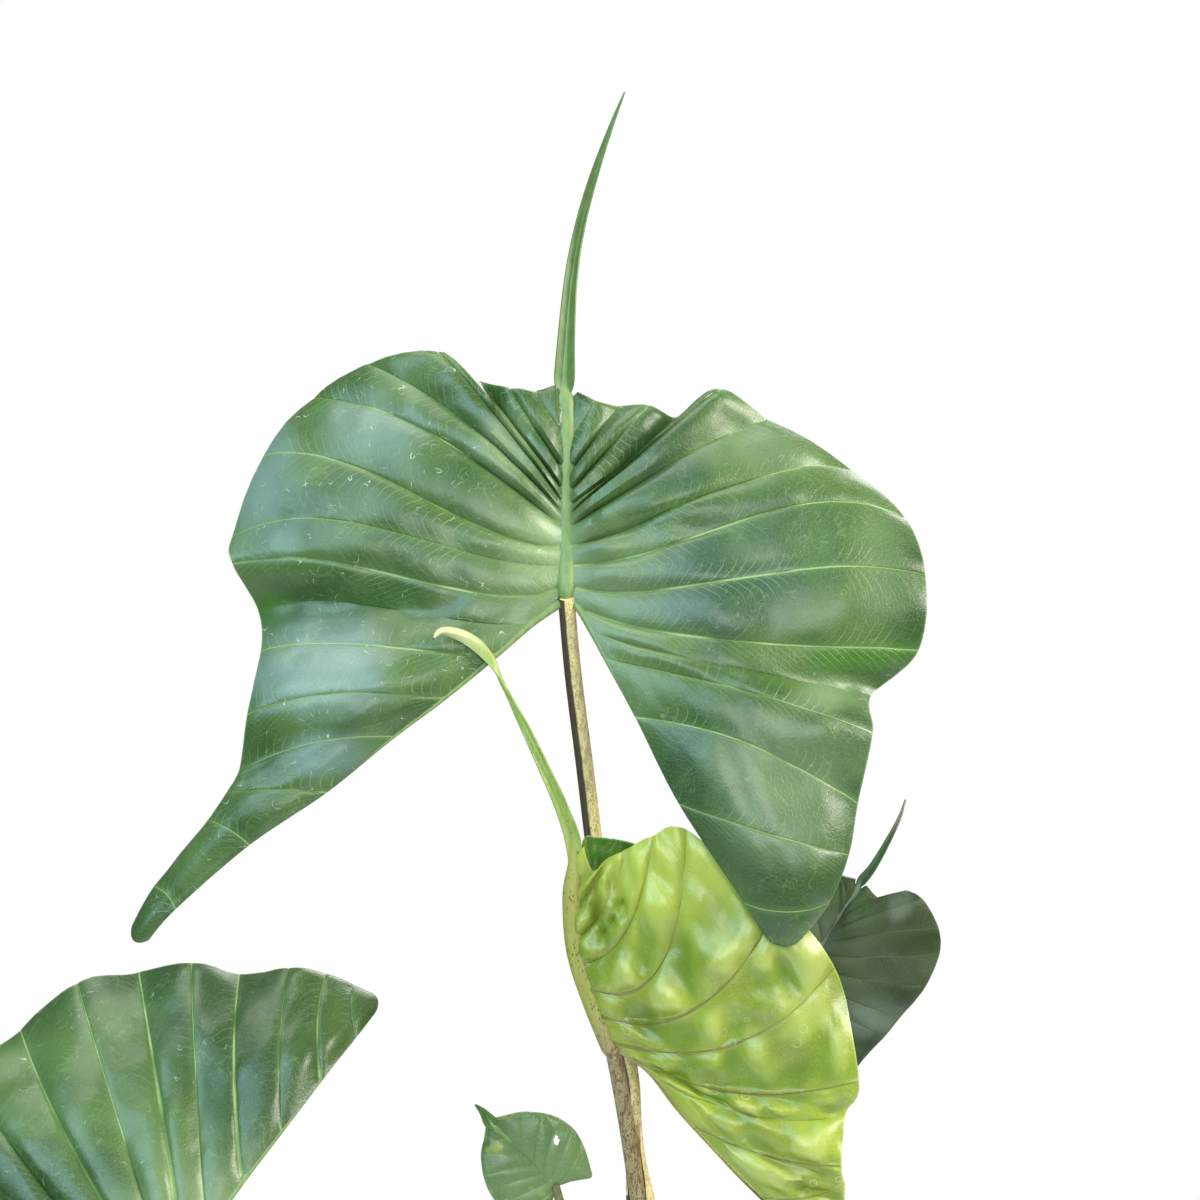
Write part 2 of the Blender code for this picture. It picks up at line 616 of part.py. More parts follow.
def pot():
    """A tapered pot with a rolled rim and drain holes, standing on its whole flat underside."""
    slope = (POT_RIM_RADIUS - POT_RIM_PROUD - POT_BASE_RADIUS) / POT_HEIGHT
    under_rim = POT_HEIGHT - POT_RIM_DEPTH
    inner = POT_RIM_RADIUS - POT_RIM_PROUD - POT_WALL
    profile = (
        (0, POT_FLOOR),
        (POT_BASE_RADIUS - POT_WALL - 0.003, POT_FLOOR),
        (POT_BASE_RADIUS - POT_WALL, POT_FLOOR + 0.003),
        (inner, POT_HEIGHT - 0.001),
        (inner + 0.001, POT_HEIGHT),
        (POT_RIM_RADIUS - 0.002, POT_HEIGHT),
        (POT_RIM_RADIUS, POT_HEIGHT - 0.002),
        (POT_RIM_RADIUS, under_rim + 0.003),
        (POT_RIM_RADIUS - 0.0008, under_rim + 0.0006),
        (POT_BASE_RADIUS + slope * under_rim, under_rim),
        (POT_BASE_RADIUS, 0.003),
        (POT_BASE_RADIUS - 0.003, 0),
        (0, 0),
    )
    body = add_mesh("pot", turned(profile, POT_SIDES), "pot_plastic")
    holes = []
    for k in range(DRAIN_HOLES):
        angle = 2 * math.pi * (k + 0.5) / DRAIN_HOLES
        middle = (DRAIN_CIRCLE_RADIUS * math.cos(angle), DRAIN_CIRCLE_RADIUS * math.sin(angle), 0)
        holes.append(cylinder(f"drain_{k}", middle, DRAIN_HOLE_RADIUS, 0.02, 14, "pot_plastic"))
    return boolean(body, holes, "DIFFERENCE")


def soil():
    """Potting soil, lumpy on top and heaped a little to the stem, which stands in a plain hole."""
    base = POT_BASE_RADIUS - POT_WALL
    slope = (POT_RIM_RADIUS - POT_RIM_PROUD - POT_BASE_RADIUS) / POT_HEIGHT
    hole, floor = STEM_RADIUS + GAP, POT_FLOOR + GAP
    edge = base + slope * SOIL_TOP - 2 * GAP
    rings = [(edge + (hole - edge) * k / SOIL_RINGS, SOIL_TOP) for k in range(SOIL_RINGS + 1)]
    profile = [(0, floor), (base - 0.0045, floor), (base - 2 * GAP, POT_FLOOR + 0.005), *rings]
    profile += [(hole, STEM_FOOT - GAP), (0, STEM_FOOT - GAP)]
    bm = turned(profile, POT_SIDES)
    for vert in bm.verts:
        x, y, z = vert.co
        if z > SOIL_TOP - GAP:
            inward = (edge - math.hypot(x, y)) / edge
            wave = math.sin(170 * x + 2.0) * math.cos(150 * y) + 0.6 * math.sin(330 * y + 90 * x)
            vert.co.z += SOIL_HEAP * inward + SOIL_LUMP * wave * min(1, 0.4 + 8 * inward)
    bmesh.ops.triangulate(bm, faces=bm.faces)
    return add_mesh("soil", bm, "soil")


def stem_radius(z):
    """Above the soil the stem narrows upwards, with a low ridge where each old leaf was."""
    buried = SOIL_TOP + SOIL_HEAP + SOIL_LUMP
    share = max(0, (z - buried) / (STEM_TOP - buried))
    ridge = 0.0007 * (math.cos(2 * math.pi * STEM_SCARS * share) - 1)
    return STEM_RADIUS + (STEM_TOP_RADIUS - STEM_RADIUS) * share**1.5 + ridge


def stem():
    """The short stem, rooted in the soil, with a socket in its crown and one for each outer stalk."""
    heights = np.linspace(SOIL_TOP, STEM_TOP - 0.004, 3 * STEM_SCARS)
    profile = [(0, STEM_FOOT), (STEM_RADIUS, STEM_FOOT), *[(stem_radius(z), z) for z in heights]]
    profile += [(STEM_TOP_RADIUS - 0.0015, STEM_TOP - 0.001), (STEM_TOP_RADIUS - 0.004, STEM_TOP), (0, STEM_TOP)]
    body = add_mesh("stem", turned(profile, STEM_SIDES), "stem")
    depth = 2 * (STEM_TOP - CROWN_SOCKET_FLOOR)
    sockets = [cylinder("crown", (*CROWN_SOCKET_MIDDLE, STEM_TOP), CROWN_SOCKET_RADIUS, depth, 20, "stem")]
    for k, (path, foot, top) in enumerate(OUTER_STALKS):
        line = stalk_line(path)
        radii = stalk_radii(len(line), foot, top)[:4] + GAP
        line = line[:4].copy()
        line[0] -= GAP * unit(line[1] - line[0])
        sockets.append(solid_rod(f"socket_{k}", line, radii, "stem"))
    return boolean(body, sockets, "DIFFERENCE")


def main():
    clear_scene()
    lean = math.radians(22)
    main_leaf = Leaf(HUB_MAIN, (0, math.sin(lean), math.cos(lean)), (0, -math.cos(lean), math.sin(lean)))
    new_leaf = Leaf(
        HUB_NEW,
        (0, 0.07, 1),
        (0, -1, 0),
        turns=(-NEW_NEAR_HALF_TURN, NEW_FAR_HALF_TURN),
        midrib=[(u, v) for u, v, *_ in NEW_MIDRIB[:5]],
    )
    lower_leaf = Leaf(HUB_LOWER, (-1, -0.05, -0.06), (0, -0.77, 0.64))
    back_leaf = Leaf(HUB_BACK, (0.52, 0.10, 0.84), (0, -0.98, 0.20))
    small_leaf = Leaf(HUB_SMALL, (-0.69, -0.05, 0.71), (0, -0.95, 0.30))
    pot()
    soil()
    stem()
    main_petiole()
    new_petiole()
    for name, stalk in zip(("petiole_lower", "petiole_back", "petiole_small"), OUTER_STALKS):
        petiole(name, *stalk)
    tops = [top for _, _, top in OUTER_STALKS]
    blade("blade_main", main_leaf, (MAIN_RIGHT, MAIN_LEFT), (7, 8), MAIN_MIDRIB, PATH_MAIN, 0.0035, "leaf")
    blade("blade_new", new_leaf, (NEW_HALF, NEW_FAR_HALF), (6, 6), NEW_MIDRIB, PATH_NEW, 0.0031, "new_leaf")
    blade("blade_lower", lower_leaf, (BROAD_HALF,) * 2, (6, 6), BROAD_MIDRIB, PATH_LOWER, tops[0], "leaf")
    blade("blade_back", back_leaf, (BACK_HALF,) * 2, (4, 4), BACK_MIDRIB, PATH_BACK, tops[1], "back_leaf", True)
    blade("blade_small", small_leaf, (SMALL_HALF,) * 2, (3, 3), SMALL_MIDRIB, PATH_SMALL, tops[2], "leaf", True)


main()
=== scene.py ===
"""Dresses a potted giant taro: pleated leaves with veins, mottled stalks, a short stem, soil and a plain pot."""

import math
import random

import bmesh
import bpy
import numpy as np
from bpy.props import FloatProperty, FloatVectorProperty, IntProperty, PointerProperty
from mathutils import Matrix, Vector, noise


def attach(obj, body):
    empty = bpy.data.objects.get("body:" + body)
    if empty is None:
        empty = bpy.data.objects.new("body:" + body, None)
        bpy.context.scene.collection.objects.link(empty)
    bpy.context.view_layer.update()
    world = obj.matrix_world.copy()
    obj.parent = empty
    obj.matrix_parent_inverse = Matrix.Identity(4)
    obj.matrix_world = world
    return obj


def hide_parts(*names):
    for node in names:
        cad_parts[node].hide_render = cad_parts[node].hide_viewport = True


bl_info = {
    "name": "Potted Giant Taro",
    "version": (1, 0, 0),
    "blender": (4, 5, 0),
    "location": "3D View > Sidebar > Taro",
    "description": "Builds the leaves, stalks, stem, soil and pot of a potted giant taro",
    "category": "Object",
}

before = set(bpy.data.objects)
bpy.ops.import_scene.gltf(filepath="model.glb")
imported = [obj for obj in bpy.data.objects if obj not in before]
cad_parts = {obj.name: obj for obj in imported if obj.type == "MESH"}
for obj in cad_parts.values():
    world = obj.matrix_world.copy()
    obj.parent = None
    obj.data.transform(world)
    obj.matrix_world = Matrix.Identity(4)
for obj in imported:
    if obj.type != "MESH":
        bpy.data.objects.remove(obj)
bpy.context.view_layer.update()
MM = 0.001
BODY = "root"
SMOOTH_UP_TO = 50

# Each ray of a half blade: where it starts, its middle and its margin, as (across, along the midrib, up from the
# face) from the hub, then how high the blade bulges beside it and how wide its vein is, all in millimetres.
MAIN_RIGHT = (
    ((83, -141, -15), (91, -145, -14), (98, -141, -16), 0, 0),
    ((74, -128, -8), (92, -132, -5), (109, -127, -14), 0.6, 0.4),
    ((47, -88, 0), (85, -102, 5), (117, -108, -6), 1.2, 0.5),
    ((29, -52, 3), (73, -64, 11), (121, -87, -2), 1.4, 1),
    ((16, -27, 3), (71, -42, 13), (127, -59, 5), 1.6, 0.5),
    ((10, -15, 2), (68, -32, 11), (128, -40, -6), 1.6, 0),
    ((4, -4, 0), (74, -21, 9), (148, -21, -4), 1.8, 1.8),
    ((0, 5, 0), (74, 6, 10), (151, 10, 3), 2, 1.5),
    ((0, 14, 0), (73, 31, 10), (144, 38, -7), 2.4, 1.3),
    ((0, 22, 0), (56, 41, 11), (122, 60, -11), 3.4, 1.1),
    ((0, 30, 0), (39, 53, 10), (86, 80, -6), 4.6, 0.4),
    ((0, 35, 0), (33, 62, 9), (65, 91, 4), 5.6, 0.5),
    ((0, 39, 0), (25, 57, 3), (47, 81, -5), 6, 1.3),
    ((0, 44, 0), (18, 64, 6), (35, 84, 2), 5.4, 0.4),
    ((0, 53, 0), (12, 69, 3), (22, 85, -3), 4, 0.5),
    ((0, 68, 0), (7, 77, 2), (12, 86, 2), 1, 0.4),
    ((0, 86, 0), (2, 88, 0), (5, 90, 1), 0, 0),
)
MAIN_LEFT = (
    ((174, -141, -24), (180, -141, -24), (181, -134, -26), 0, 0),
    ((162, -129, -17), (166, -123, -15), (172, -119, -20), 0.4, 0.4),
    ((131, -104, -6), (139, -98, -3), (149, -93, -11), 0.8, 0.5),
    ((99, -83, 0), (121, -82, 4), (141, -82, -7), 1.2, 0.8),
    ((71, -60, 3), (106, -64, 8), (136, -73, -4), 1.4, 0.5),
    ((50, -44, 4), (91, -44, 11), (132, -51, 4), 1.6, 1),
    ((28, -25, 3), (78, -23, 9), (128, -22, -5), 1.6, 1.4),
    ((13, -11, 1), (70, -6, 6), (131, -1, -12), 1.6, 0),
    ((0, 5, 0), (64, 6, 9), (141, 16, 1), 1.8, 1.8),
    ((0, 14, 0), (70, 25, 11), (142, 29, -2), 2, 0.4),
    ((0, 22, 0), (64, 42, 12), (130, 66, -9), 2.8, 1.6),
    ((0, 30, 0), (54, 67, 11), (109, 92, -10), 3.6, 1.3),
    ((0, 35, 0), (43, 75, 9), (85, 105, -4), 4.6, 0.4),
    ((0, 39, 0), (30, 77, 8), (55, 107, 7), 5.8, 1),
    ((0, 44, 0), (22, 74, 1), (38, 97, -7), 6, 0.4),
    ((0, 53, 0), (14, 74, 4), (24, 90, 3), 5, 0.6),
    ((0, 68, 0), (8, 81, 2), (13, 91, -2), 2, 0.4),
    ((0, 86, 0), (2, 89, 1), (5, 93, 1), 0, 0),
)
NEW_NEAR = (
    ((93, -93, -6), (97, -97, -6), (98, -92, -7), 0, 0),
    ((85, -83, -3), (90, -80, -3), (97, -76, -7), 0.6, 0.8),
    ((64, -62, 0), (80, -62, 1), (98, -57, -4), 1.2, 1.2),
    ((36, -33, 1), (67, -44, 3), (97, -47, 3), 1.8, 1.6),
    ((20, -14, 1), (61, -27, 4), (98, -27, -3), 2, 0),
    ((7, -4, 0), (53, -17, 4), (104, -11, 3), 2.2, 2),
    ((-2, 3, 0), (50, 3, 6), (93, 36, -3), 2.4, 2.4),
    ((-6, 14, 0), (36, 19, 8), (71, 64, 4), 2.6, 2.4),
    ((-11, 25, 0), (21, 36, 8), (32, 94, 9), 2.8, 2.2),
    ((-14, 35, 0), (7, 51, 7), (18, 91, 8), 3, 1.5),
    ((-16, 45, 0), (-3, 60, 4), (7, 85, 6), 3, 1.4),
    ((-17, 55, 0), (-9, 67, 2), (-2, 80, 3), 2.4, 1.1),
    ((-17, 66, 0), (-12, 71, 1), (-8, 75, 2), 1.2, 0.8),
    ((-15, 82, 0), (-14, 83, 0), (-12, 85, 0), 0, 0),
)
NEW_FAR = (
    *NEW_NEAR[:7],
    ((-6, 14, 0), (32, 22, 5), (62, 58, 2), 2.6, 1.6),
    ((-11, 25, 0), (14, 42, 5), (24, 80, 4), 2.8, 1.5),
    ((-14, 35, 0), (-2, 56, 4), (7, 86, 4), 3, 1.1),
    ((-16, 45, 0), (-10, 66, 3), (-5, 88, 3), 2.6, 1),
    ((-17, 55, 0), (-13, 72, 2), (-10, 88, 2), 1.8, 0.8),
    *NEW_NEAR[12:],
)
BROAD = (
    ((108, -78, -10), (114, -80, -10), (119, -77, -12), 0, 0),
    ((95, -70, -5), (109, -68, -3), (122, -70, -9), 0.8, 0.5),
    ((73, -54, 0), (101, -54, 4), (126, -58, -4), 1.4, 2.2),
    ((50, -37, 3), (90, -38, 8), (128, -42, 1), 1.8, 0.6),
    ((29, -20, 2), (78, -18, 9), (130, -20, -5), 2, 2.6),
    ((9, -5, 0), (69, -2, 9), (133, 0, 2), 2.2, 0.7),
    ((0, 5, 0), (69, 14, 10), (134, 24, -7), 2.4, 2.7),
    ((0, 14, 0), (65, 33, 10), (128, 50, 1), 2.8, 0.7),
    ((0, 24, 0), (55, 54, 10), (112, 76, -8), 3.4, 2.2),
    ((0, 34, 0), (42, 70, 8), (88, 96, 2), 4, 1),
    ((0, 44, 0), (28, 79, 5), (60, 105, -4), 4, 0.9),
    ((0, 60, 0), (15, 86, 3), (34, 108, 3), 2.8, 0.8),
    ((0, 84, 0), (4, 97, 1), (9, 105, 0), 0, 0),
)
BACK = (
    ((39, -28, -3), (42, -29, -3), (44, -27, -4), 0, 0),
    ((27, -18, 0), (36, -18, 1), (45, -18, -2), 0.5, 0.5),
    ((14, -9, 1), (29, -8, 3), (47, -7, 1), 0.8, 0.5),
    ((3, -2, 0), (25, 0, 4), (49, 5, -2), 0.9, 0.7),
    ((0, 3, 0), (26, 12, 4), (51, 24, 2), 1, 0.7),
    ((0, 9, 0), (22, 22, 4), (49, 40, -3), 1.2, 0.6),
    ((0, 15, 0), (18, 32, 3), (42, 50, 1), 1.4, 0.6),
    ((0, 21, 0), (12, 39, 3), (30, 57, -3), 1.5, 0.5),
    ((0, 28, 0), (8, 43, 2), (20, 57, 3), 1.5, 0.5),
    ((0, 35, 0), (5, 43, 1), (13, 47, -3), 0.8, 0.4),
    ((0, 44, 0), (1.5, 46, 0), (3, 49, 0), 0, 0),
)
SMALL = (
    ((12, -9, -2), (14, -10, -2), (15.5, -8, -3), 0, 0),
    ((6, -4, 0), (13, -3, 1), (19, -2, -1), 0.4, 0.4),
    ((1, -1, 0), (12, 1, 2), (22, 5, 0), 0.6, 0.5),
    ((0, 3, 0), (12, 8, 2), (23.5, 12, 1), 0.7, 0.5),
    ((0, 8, 0), (11, 15, 2), (22.5, 19, -1), 0.8, 0.5),
    ((0, 14, 0), (9, 21, 2), (19, 27, 1), 0.9, 0.4),
    ((0, 21, 0), (6, 28, 1), (13, 34, -1), 0.8, 0.4),
    ((0, 29, 0), (3, 34, 0), (6, 39, 0), 0.5, 0.3),
    ((0, 38, 0), (0.8, 40, 0), (1.8, 42, 0), 0, 0),
)

# How far each ray of the main leaf bows from its curve, in millimetres, and where the blade swells beyond its
# pleats: (across, along, reach across, reach along, height).
RIGHT_BOWS = (0, 0, 0, 0, 0, 1, 2, 5, 7, 3.5, 1, 0, 0, 0, 0, 0, 0)
LEFT_BOWS = (0, 0, 0, 0, 0, 1, 2, 4, 6, 6, 6.5, 1.5, 0, 0, 0, 0, 0, 0)
RIGHT_SWELLS = (
    (118, -33, 40, 13, -5), (108, -58, 32, 15, 3), (132, -6, 26, 15, 2), (146, 32, 24, 38, -5),
    (62, -8, 24, 12, 2.4), (70, 56, 14, 22, -3), (98, 66, 18, 12, 2), (36, 28, 28, 5, -3.2), (34, 9, 32, 6, 2.6),
    (60, 14, 30, 5, -1.8),
)
LEFT_SWELLS = (
    (106, -7, 44, 14, -5.5), (92, -38, 46, 20, 3.6), (146, 44, 26, 38, -7), (120, -74, 20, 14, -3),
    (96, 88, 16, 12, -3), (50, 96, 16, 10, 3), (24, 94, 14, 7, 4),
)

# Painted light and shade on a leaf's face, from the first laid down to the last: a colour, and the places that
# have it as (across, up, reach across, reach up, share), in millimetres from the hub.
MAIN_PAINTED_LIGHT = (
    # painted reflection: a bluish sheen on the left half and its lobe
    (
        (0.25, 0.37, 0.36),
        ((-130, 46, 26, 42, 0.55), (-86, 70, 32, 18, 0.4), (-104, -27, 42, 26, 0.6), (-98, -61, 27, 14, 0.4)),
    ),
    # painted highlights: pale patches beside the hub and on the right half
    (
        (0.27, 0.37, 0.19),
        (
            (-10, 22, 22, 27, 0.85), (-26, 62, 18, 20, 0.55), (84, 62, 40, 18, 0.34), (132, 18, 18, 36, 0.22),
            (108, -38, 24, 9, 0.5), (92, -76, 46, 46, 0.34),
        ),
    ),
    # painted shade: dark blue-green on the right half near the hub
    ((0.026, 0.074, 0.040), ((52, 4, 78, 30, 0.95), (84, 30, 56, 24, 0.55), (46, 52, 22, 12, 0.5))),
    # painted shade: dark green in the troughs
    (
        (0.013, 0.075, 0.004),
        ((-98, 2, 50, 11, 0.6), (30, 40, 40, 13, 0.6), (-22, 86, 24, 6, 0.6), (-44, 52, 26, 7, 0.45)),
    ),
    # painted light through the blade: vivid green where it shows no reflection
    ((0.050, 0.190, 0.004), ((124, -23, 44, 10, 0.65), (-106, 78, 9, 5, 0.45), (-128, -6, 18, 12, 0.45))),
)
BACK_PAINTED_LIGHT = (
    # painted sheen: a grey-green reflection
    ((0.17, 0.23, 0.19), ((28, -19, 24, 15, 0.75), (44, 33, 9, 12, 0.6), (8, 20, 12, 13, 0.45))),
    # painted light through the blade: vivid green
    ((0.022, 0.125, 0.004), ((27, 29, 11, 13, 0.34), (8, 36, 14, 7, 0.45))),
)

# Slits and swells of the newest leaf's near half, as the swells above.
NEW_SLITS = (
    (-7, 59, 1.7, 7, -6), (5, 61, 1.9, 3.6, -4.5), (1, 55, 1.9, 3.6, -5), (-3.5, 49, 1.9, 3.4, -4.5),
    (-2.5, 63, 2.6, 7, 2.4), (20, 68, 10, 16, 2.6), (44, 40, 14, 9, 3), (24, 44, 9, 8, -3), (52, 12, 12, 8, -3.2),
    (72, 20, 12, 14, 3), (40, -8, 12, 6, 2.6), (72, -34, 14, 7, 2.8),
)

# Midribs and tails: (across, along, up, half width, twist in degrees), in millimetres from the hub.
MAIN_MIDRIB = (
    (0, -2, -1, 4.2, 0), (0, 30, -0.6, 3.4, 0), (0, 65, -0.2, 3.5, 0), (-1, 84, 0.2, 4.1, 0), (-1, 94, 0.4, 4.7, 0),
    (0, 116, -0.6, 3.8, 4), (2, 142, -1.6, 3, 10), (6, 166, -3.6, 2.7, 24), (12, 190, -6.5, 2.5, 34),
    (19, 214, -9.5, 1.5, 40), (25, 233, -12.5, 0.3, 44),
)
NEW_MIDRIB = (
    (1, -6, -1, 3.3, 0), (-8, 18, -1.2, 4, 0), (-15, 40, -1.2, 4, 0), (-17, 62, -1, 3.8, 0),
    (-16, 84, -0.4, 3.6, 0), (-21, 101, 0, 2.9, 0), (-29, 120, 2, 2.5, 10), (-38, 140, 4, 2.1, 30),
    (-46, 156, 7, 1.6, 75), (-51, 167, 9, 3.2, 130), (-60, 174, 13, 2.6, 165), (-70, 177, 16.5, 1.6, 200),
    (-74, 174, 18, 0.4, 230),
)
BROAD_MIDRIB = (
    (0, -2, -1, 4, 0), (0, 35, -0.6, 3.2, 0), (0, 75, -0.4, 2.8, 0), (0, 96, 0, 3, 0), (0, 107, 0.2, 4.4, 0),
    (2, 128, -0.8, 3.2, 6), (5, 150, -3, 2.4, 14), (10, 172, -7, 1.5, 20), (16, 191, -12, 0.3, 24),
)
BACK_MIDRIB = (
    (0, -2, -0.6, 2.2, 0), (0, 20, -0.4, 1.8, 0), (0, 42, 0, 1.7, 0), (0, 50, 0, 2.3, 0), (1, 58, -0.4, 1.9, 0),
    (1, 70, -2, 1.4, 6), (0, 84, -4, 0.8, 10), (-2, 93, -6, 0.2, 12),
)
SMALL_MIDRIB = (
    (0, -1, -0.4, 1.4, 0), (0, 18, -0.2, 1, 0), (0, 34, 0, 1.3, 0), (0, 41, -0.3, 3.1, 0), (1, 47, -0.8, 1.7, 0),
    (1, 52, -1.2, 0.2, 0),
)

# Where each stalk meets its leaf, in metres.
HUB_MAIN = (-0.052, 0, 0.654)
HUB_NEW = (-0.0326, -0.02, 0.4655)
HUB_LOWER = (-0.206, -0.05, 0.385)
HUB_BACK = (0.0585, 0.13, 0.459)
HUB_SMALL = (-0.058, 0.06, 0.3785)

# The stalks, in metres: from inside the stem up to the hub.
PATH_MAIN = (
    (0.004, 0.006, 0.205), (-0.004, 0.0055, 0.28), (-0.015, 0.004, 0.365), (-0.0215, 0.006, 0.42),
    (-0.0292, 0.015, 0.47), (-0.0385, 0.02, 0.53), (-0.0445, 0.0165, 0.58), (-0.0492, 0.008, 0.62), HUB_MAIN,
)
PATH_NEW = (
    (0.0016, -0.001, 0.205), (-0.0064, -0.0015, 0.28), (-0.0176, -0.003, 0.365), (-0.0245, -0.0048, 0.415),
    (-0.029, -0.011, 0.444), HUB_NEW,
)
PATH_LOWER = (
    (-0.008, -0.003, 0.185), (-0.026, -0.008, 0.208), (-0.062, -0.018, 0.275), (-0.108, -0.028, 0.328),
    (-0.16, -0.038, 0.36), HUB_LOWER,
)
PATH_BACK = (
    (0.008, 0.006, 0.19), (0.023, 0.018, 0.218), (0.042, 0.055, 0.3), (0.054, 0.095, 0.385), HUB_BACK,
)
PATH_SMALL = (
    (-0.006, 0.008, 0.19), (-0.017, 0.023, 0.215), (-0.033, 0.04, 0.29), HUB_SMALL,
)

# The main stalk's foot wraps the newest leaf's stalk as a sheath, which opens this way and ends at this height.
SHEATH_TOP = 0.445
SHEATH_FADE = 0.07
SHEATH_FACING = (-0.35, -0.94, 0)

POT_HEIGHT, POT_RIM, POT_BASE, POT_WALL, POT_FLOOR = 0.19, 0.105, 0.078, 0.0022, 0.003
POT_LIP, POT_LIP_DEPTH = 0.0035, 0.016
POT_SLOPE = (POT_RIM - POT_LIP - POT_BASE) / POT_HEIGHT
DRAINS, DRAIN_RADIUS, DRAIN_REACH = 6, 0.006, 0.05
SOIL_TOP, SOIL_HEAP, SOIL_LUMP = 0.166, 0.004, 0.0011
SOIL_REACH = POT_BASE - POT_WALL + POT_SLOPE * SOIL_TOP
STEM_FOOT, STEM_TOP, STEM_RADIUS, STEM_TOP_RADIUS, STEM_SCARS = 0.105, 0.214, 0.0185, 0.0155, 4
STALK_HOLLOW = 0.0096

# The photograph's frame: its pixels, what one of them spans on the plant, and how the camera stands.
PHOTO_PIXELS, PIXEL = 1200, 0.00042
CAMERA_AIM, CAMERA_AWAY, CAMERA_TILT = (-0.0378, 0, 0.653), 1.35, 8
SENSOR = 36


# Shapes


def unit(vector):
    vector = np.asarray(vector, float)
    return vector / np.linalg.norm(vector)


def through(points, places):
    """Catmull-Rom values of rows of points at places, where row i is at place i."""
    points = np.asarray(points, float)
    last = len(points) - 1
    places = np.clip(np.asarray(places, float), 0, last)
    low = np.minimum(places.astype(int), last - 1)
    x = (places - low).reshape((-1,) + (1,) * (points.ndim - 1))
    p0, p1 = points[np.maximum(low - 1, 0)], points[low]
    p2, p3 = points[low + 1], points[np.minimum(low + 2, last)]
    bend = 2 * p1 + (p2 - p0) * x + (2 * p0 - 5 * p1 + 4 * p2 - p3) * x**2
    return 0.5 * (bend + (3 * p1 - p0 - 3 * p2 + p3) * x**3)


def curve(points, spacing):
    """Evenly spaced points on the smooth curve through points."""
    fine = through(points, np.linspace(0, len(points) - 1, 40 * len(points)))
    along = np.concatenate([[0], np.cumsum(np.linalg.norm(np.diff(fine, axis=0), axis=1))])
    even = np.linspace(0, along[-1], max(3, round(along[-1] / spacing) + 1))
    return np.stack([np.interp(even, along, fine[:, k]) for k in range(3)], 1)


def smooth(value, low, high):
    x = np.clip((np.asarray(value, float) - low) / (high - low), 0, 1)
    return x * x * (3 - 2 * x)


def deselect():
    bpy.ops.object.select_all(action="DESELECT")


def activate(piece):
    deselect()
    piece.select_set(True)
    bpy.context.view_layer.objects.active = piece


def edit(*steps, kind="VERT"):
    """Takes each step in Edit Mode, on everything."""
    bpy.ops.object.mode_set(mode="EDIT")
    bpy.ops.mesh.select_mode(type=kind)
    bpy.ops.mesh.select_all(action="SELECT")
    for step in steps:
        step()
    bpy.ops.object.mode_set(mode="OBJECT")


def wear(piece, *finishes):
    for finish in finishes:
        piece.data.materials.append(finish.material)


def grid_piece(name, points, marks=None):
    """A primitive grid with its rows and columns moved to points, and its values in marks kept as attributes."""
    rows, columns = points.shape[:2]
    deselect()
    bpy.ops.mesh.primitive_grid_add(x_subdivisions=columns - 1, y_subdivisions=rows - 1, size=1)
    piece = bpy.context.object
    piece.name = name
    mesh = piece.data
    flat = np.empty(len(mesh.vertices) * 3, np.float32)
    mesh.vertices.foreach_get("co", flat)
    flat = flat.reshape(-1, 3)
    column = np.rint((flat[:, 0] + 0.5) * (columns - 1)).astype(int)
    row = np.rint((flat[:, 1] + 0.5) * (rows - 1)).astype(int)
    mesh.vertices.foreach_set("co", points[row, column].astype(np.float32).ravel())
    for mark, values in (marks or {}).items():
        attribute = mesh.attributes.new(mark, "FLOAT", "POINT")
        attribute.data.foreach_set("value", values[row, column].astype(np.float32))
    mesh.update()
    return piece


def joined(pieces, name, merge=None):
    """The pieces as one object, with points closer than merge made one."""
    activate(pieces[0])
    for piece in pieces[1:]:
        piece.select_set(True)
    if len(pieces) > 1:
        bpy.ops.object.join()
    piece = bpy.context.object
    piece.name = piece.data.name = name
    if merge:
        edit(lambda: bpy.ops.mesh.remove_doubles(threshold=merge))
    return piece


def faces_out(piece):
    activate(piece)
    edit(bpy.ops.mesh.normals_make_consistent)


def apply_modifier(piece, kind, **settings):
    activate(piece)
    modifier = piece.modifiers.new(kind.title(), kind)
    for key, value in settings.items():
        setattr(modifier, key, value)
    bpy.ops.object.modifier_apply(modifier=modifier.name)


def settle(piece, slot, *nodes):
    """Smooths a finished piece, and says what it rides on and what it stands for. slot is not used."""
    activate(piece)
    bpy.ops.object.shade_smooth_by_angle(angle=math.radians(SMOOTH_UP_TO))
    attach(piece, BODY)
    if nodes:
        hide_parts(*nodes)


def rod(name, line, sections, facing, finish):
    """A closed rod: a grid rolled round line. sections gives (across, out) offsets at each point, where out is
    towards what facing gives for it.
    """
    line = np.asarray(line, float)
    tangents = np.gradient(line, axis=0)
    length = np.concatenate([[0], np.cumsum(np.linalg.norm(np.diff(line, axis=0), axis=1))])
    rings = []
    for point, tangent, section, face in zip(line, tangents, sections, facing):
        across = unit(np.cross(tangent, face))
        out = unit(np.cross(across, tangent))
        rings.append(point + section[:, [0]] * across + section[:, [1]] * out)
    rings = np.array([np.tile(line[0], (len(rings[0]), 1)), *rings, np.tile(line[-1], (len(rings[0]), 1))])
    around = np.tile(np.linspace(0, 1, rings.shape[1]), (len(rings), 1))
    length = np.concatenate([[0], length, length[-1:]])
    marks = {"around": around, "length": np.tile(length[:, None], (1, rings.shape[1]))}
    piece = joined([grid_piece(name, rings, marks)], name, 1e-6)
    faces_out(piece)
    wear(piece, finish)
    return piece


def round_section(radius, sides, flat=1.0):
    turn = np.linspace(0, 2 * math.pi, sides + 1)
    return np.stack([radius * np.sin(turn), -radius * flat * np.cos(turn)], 1)


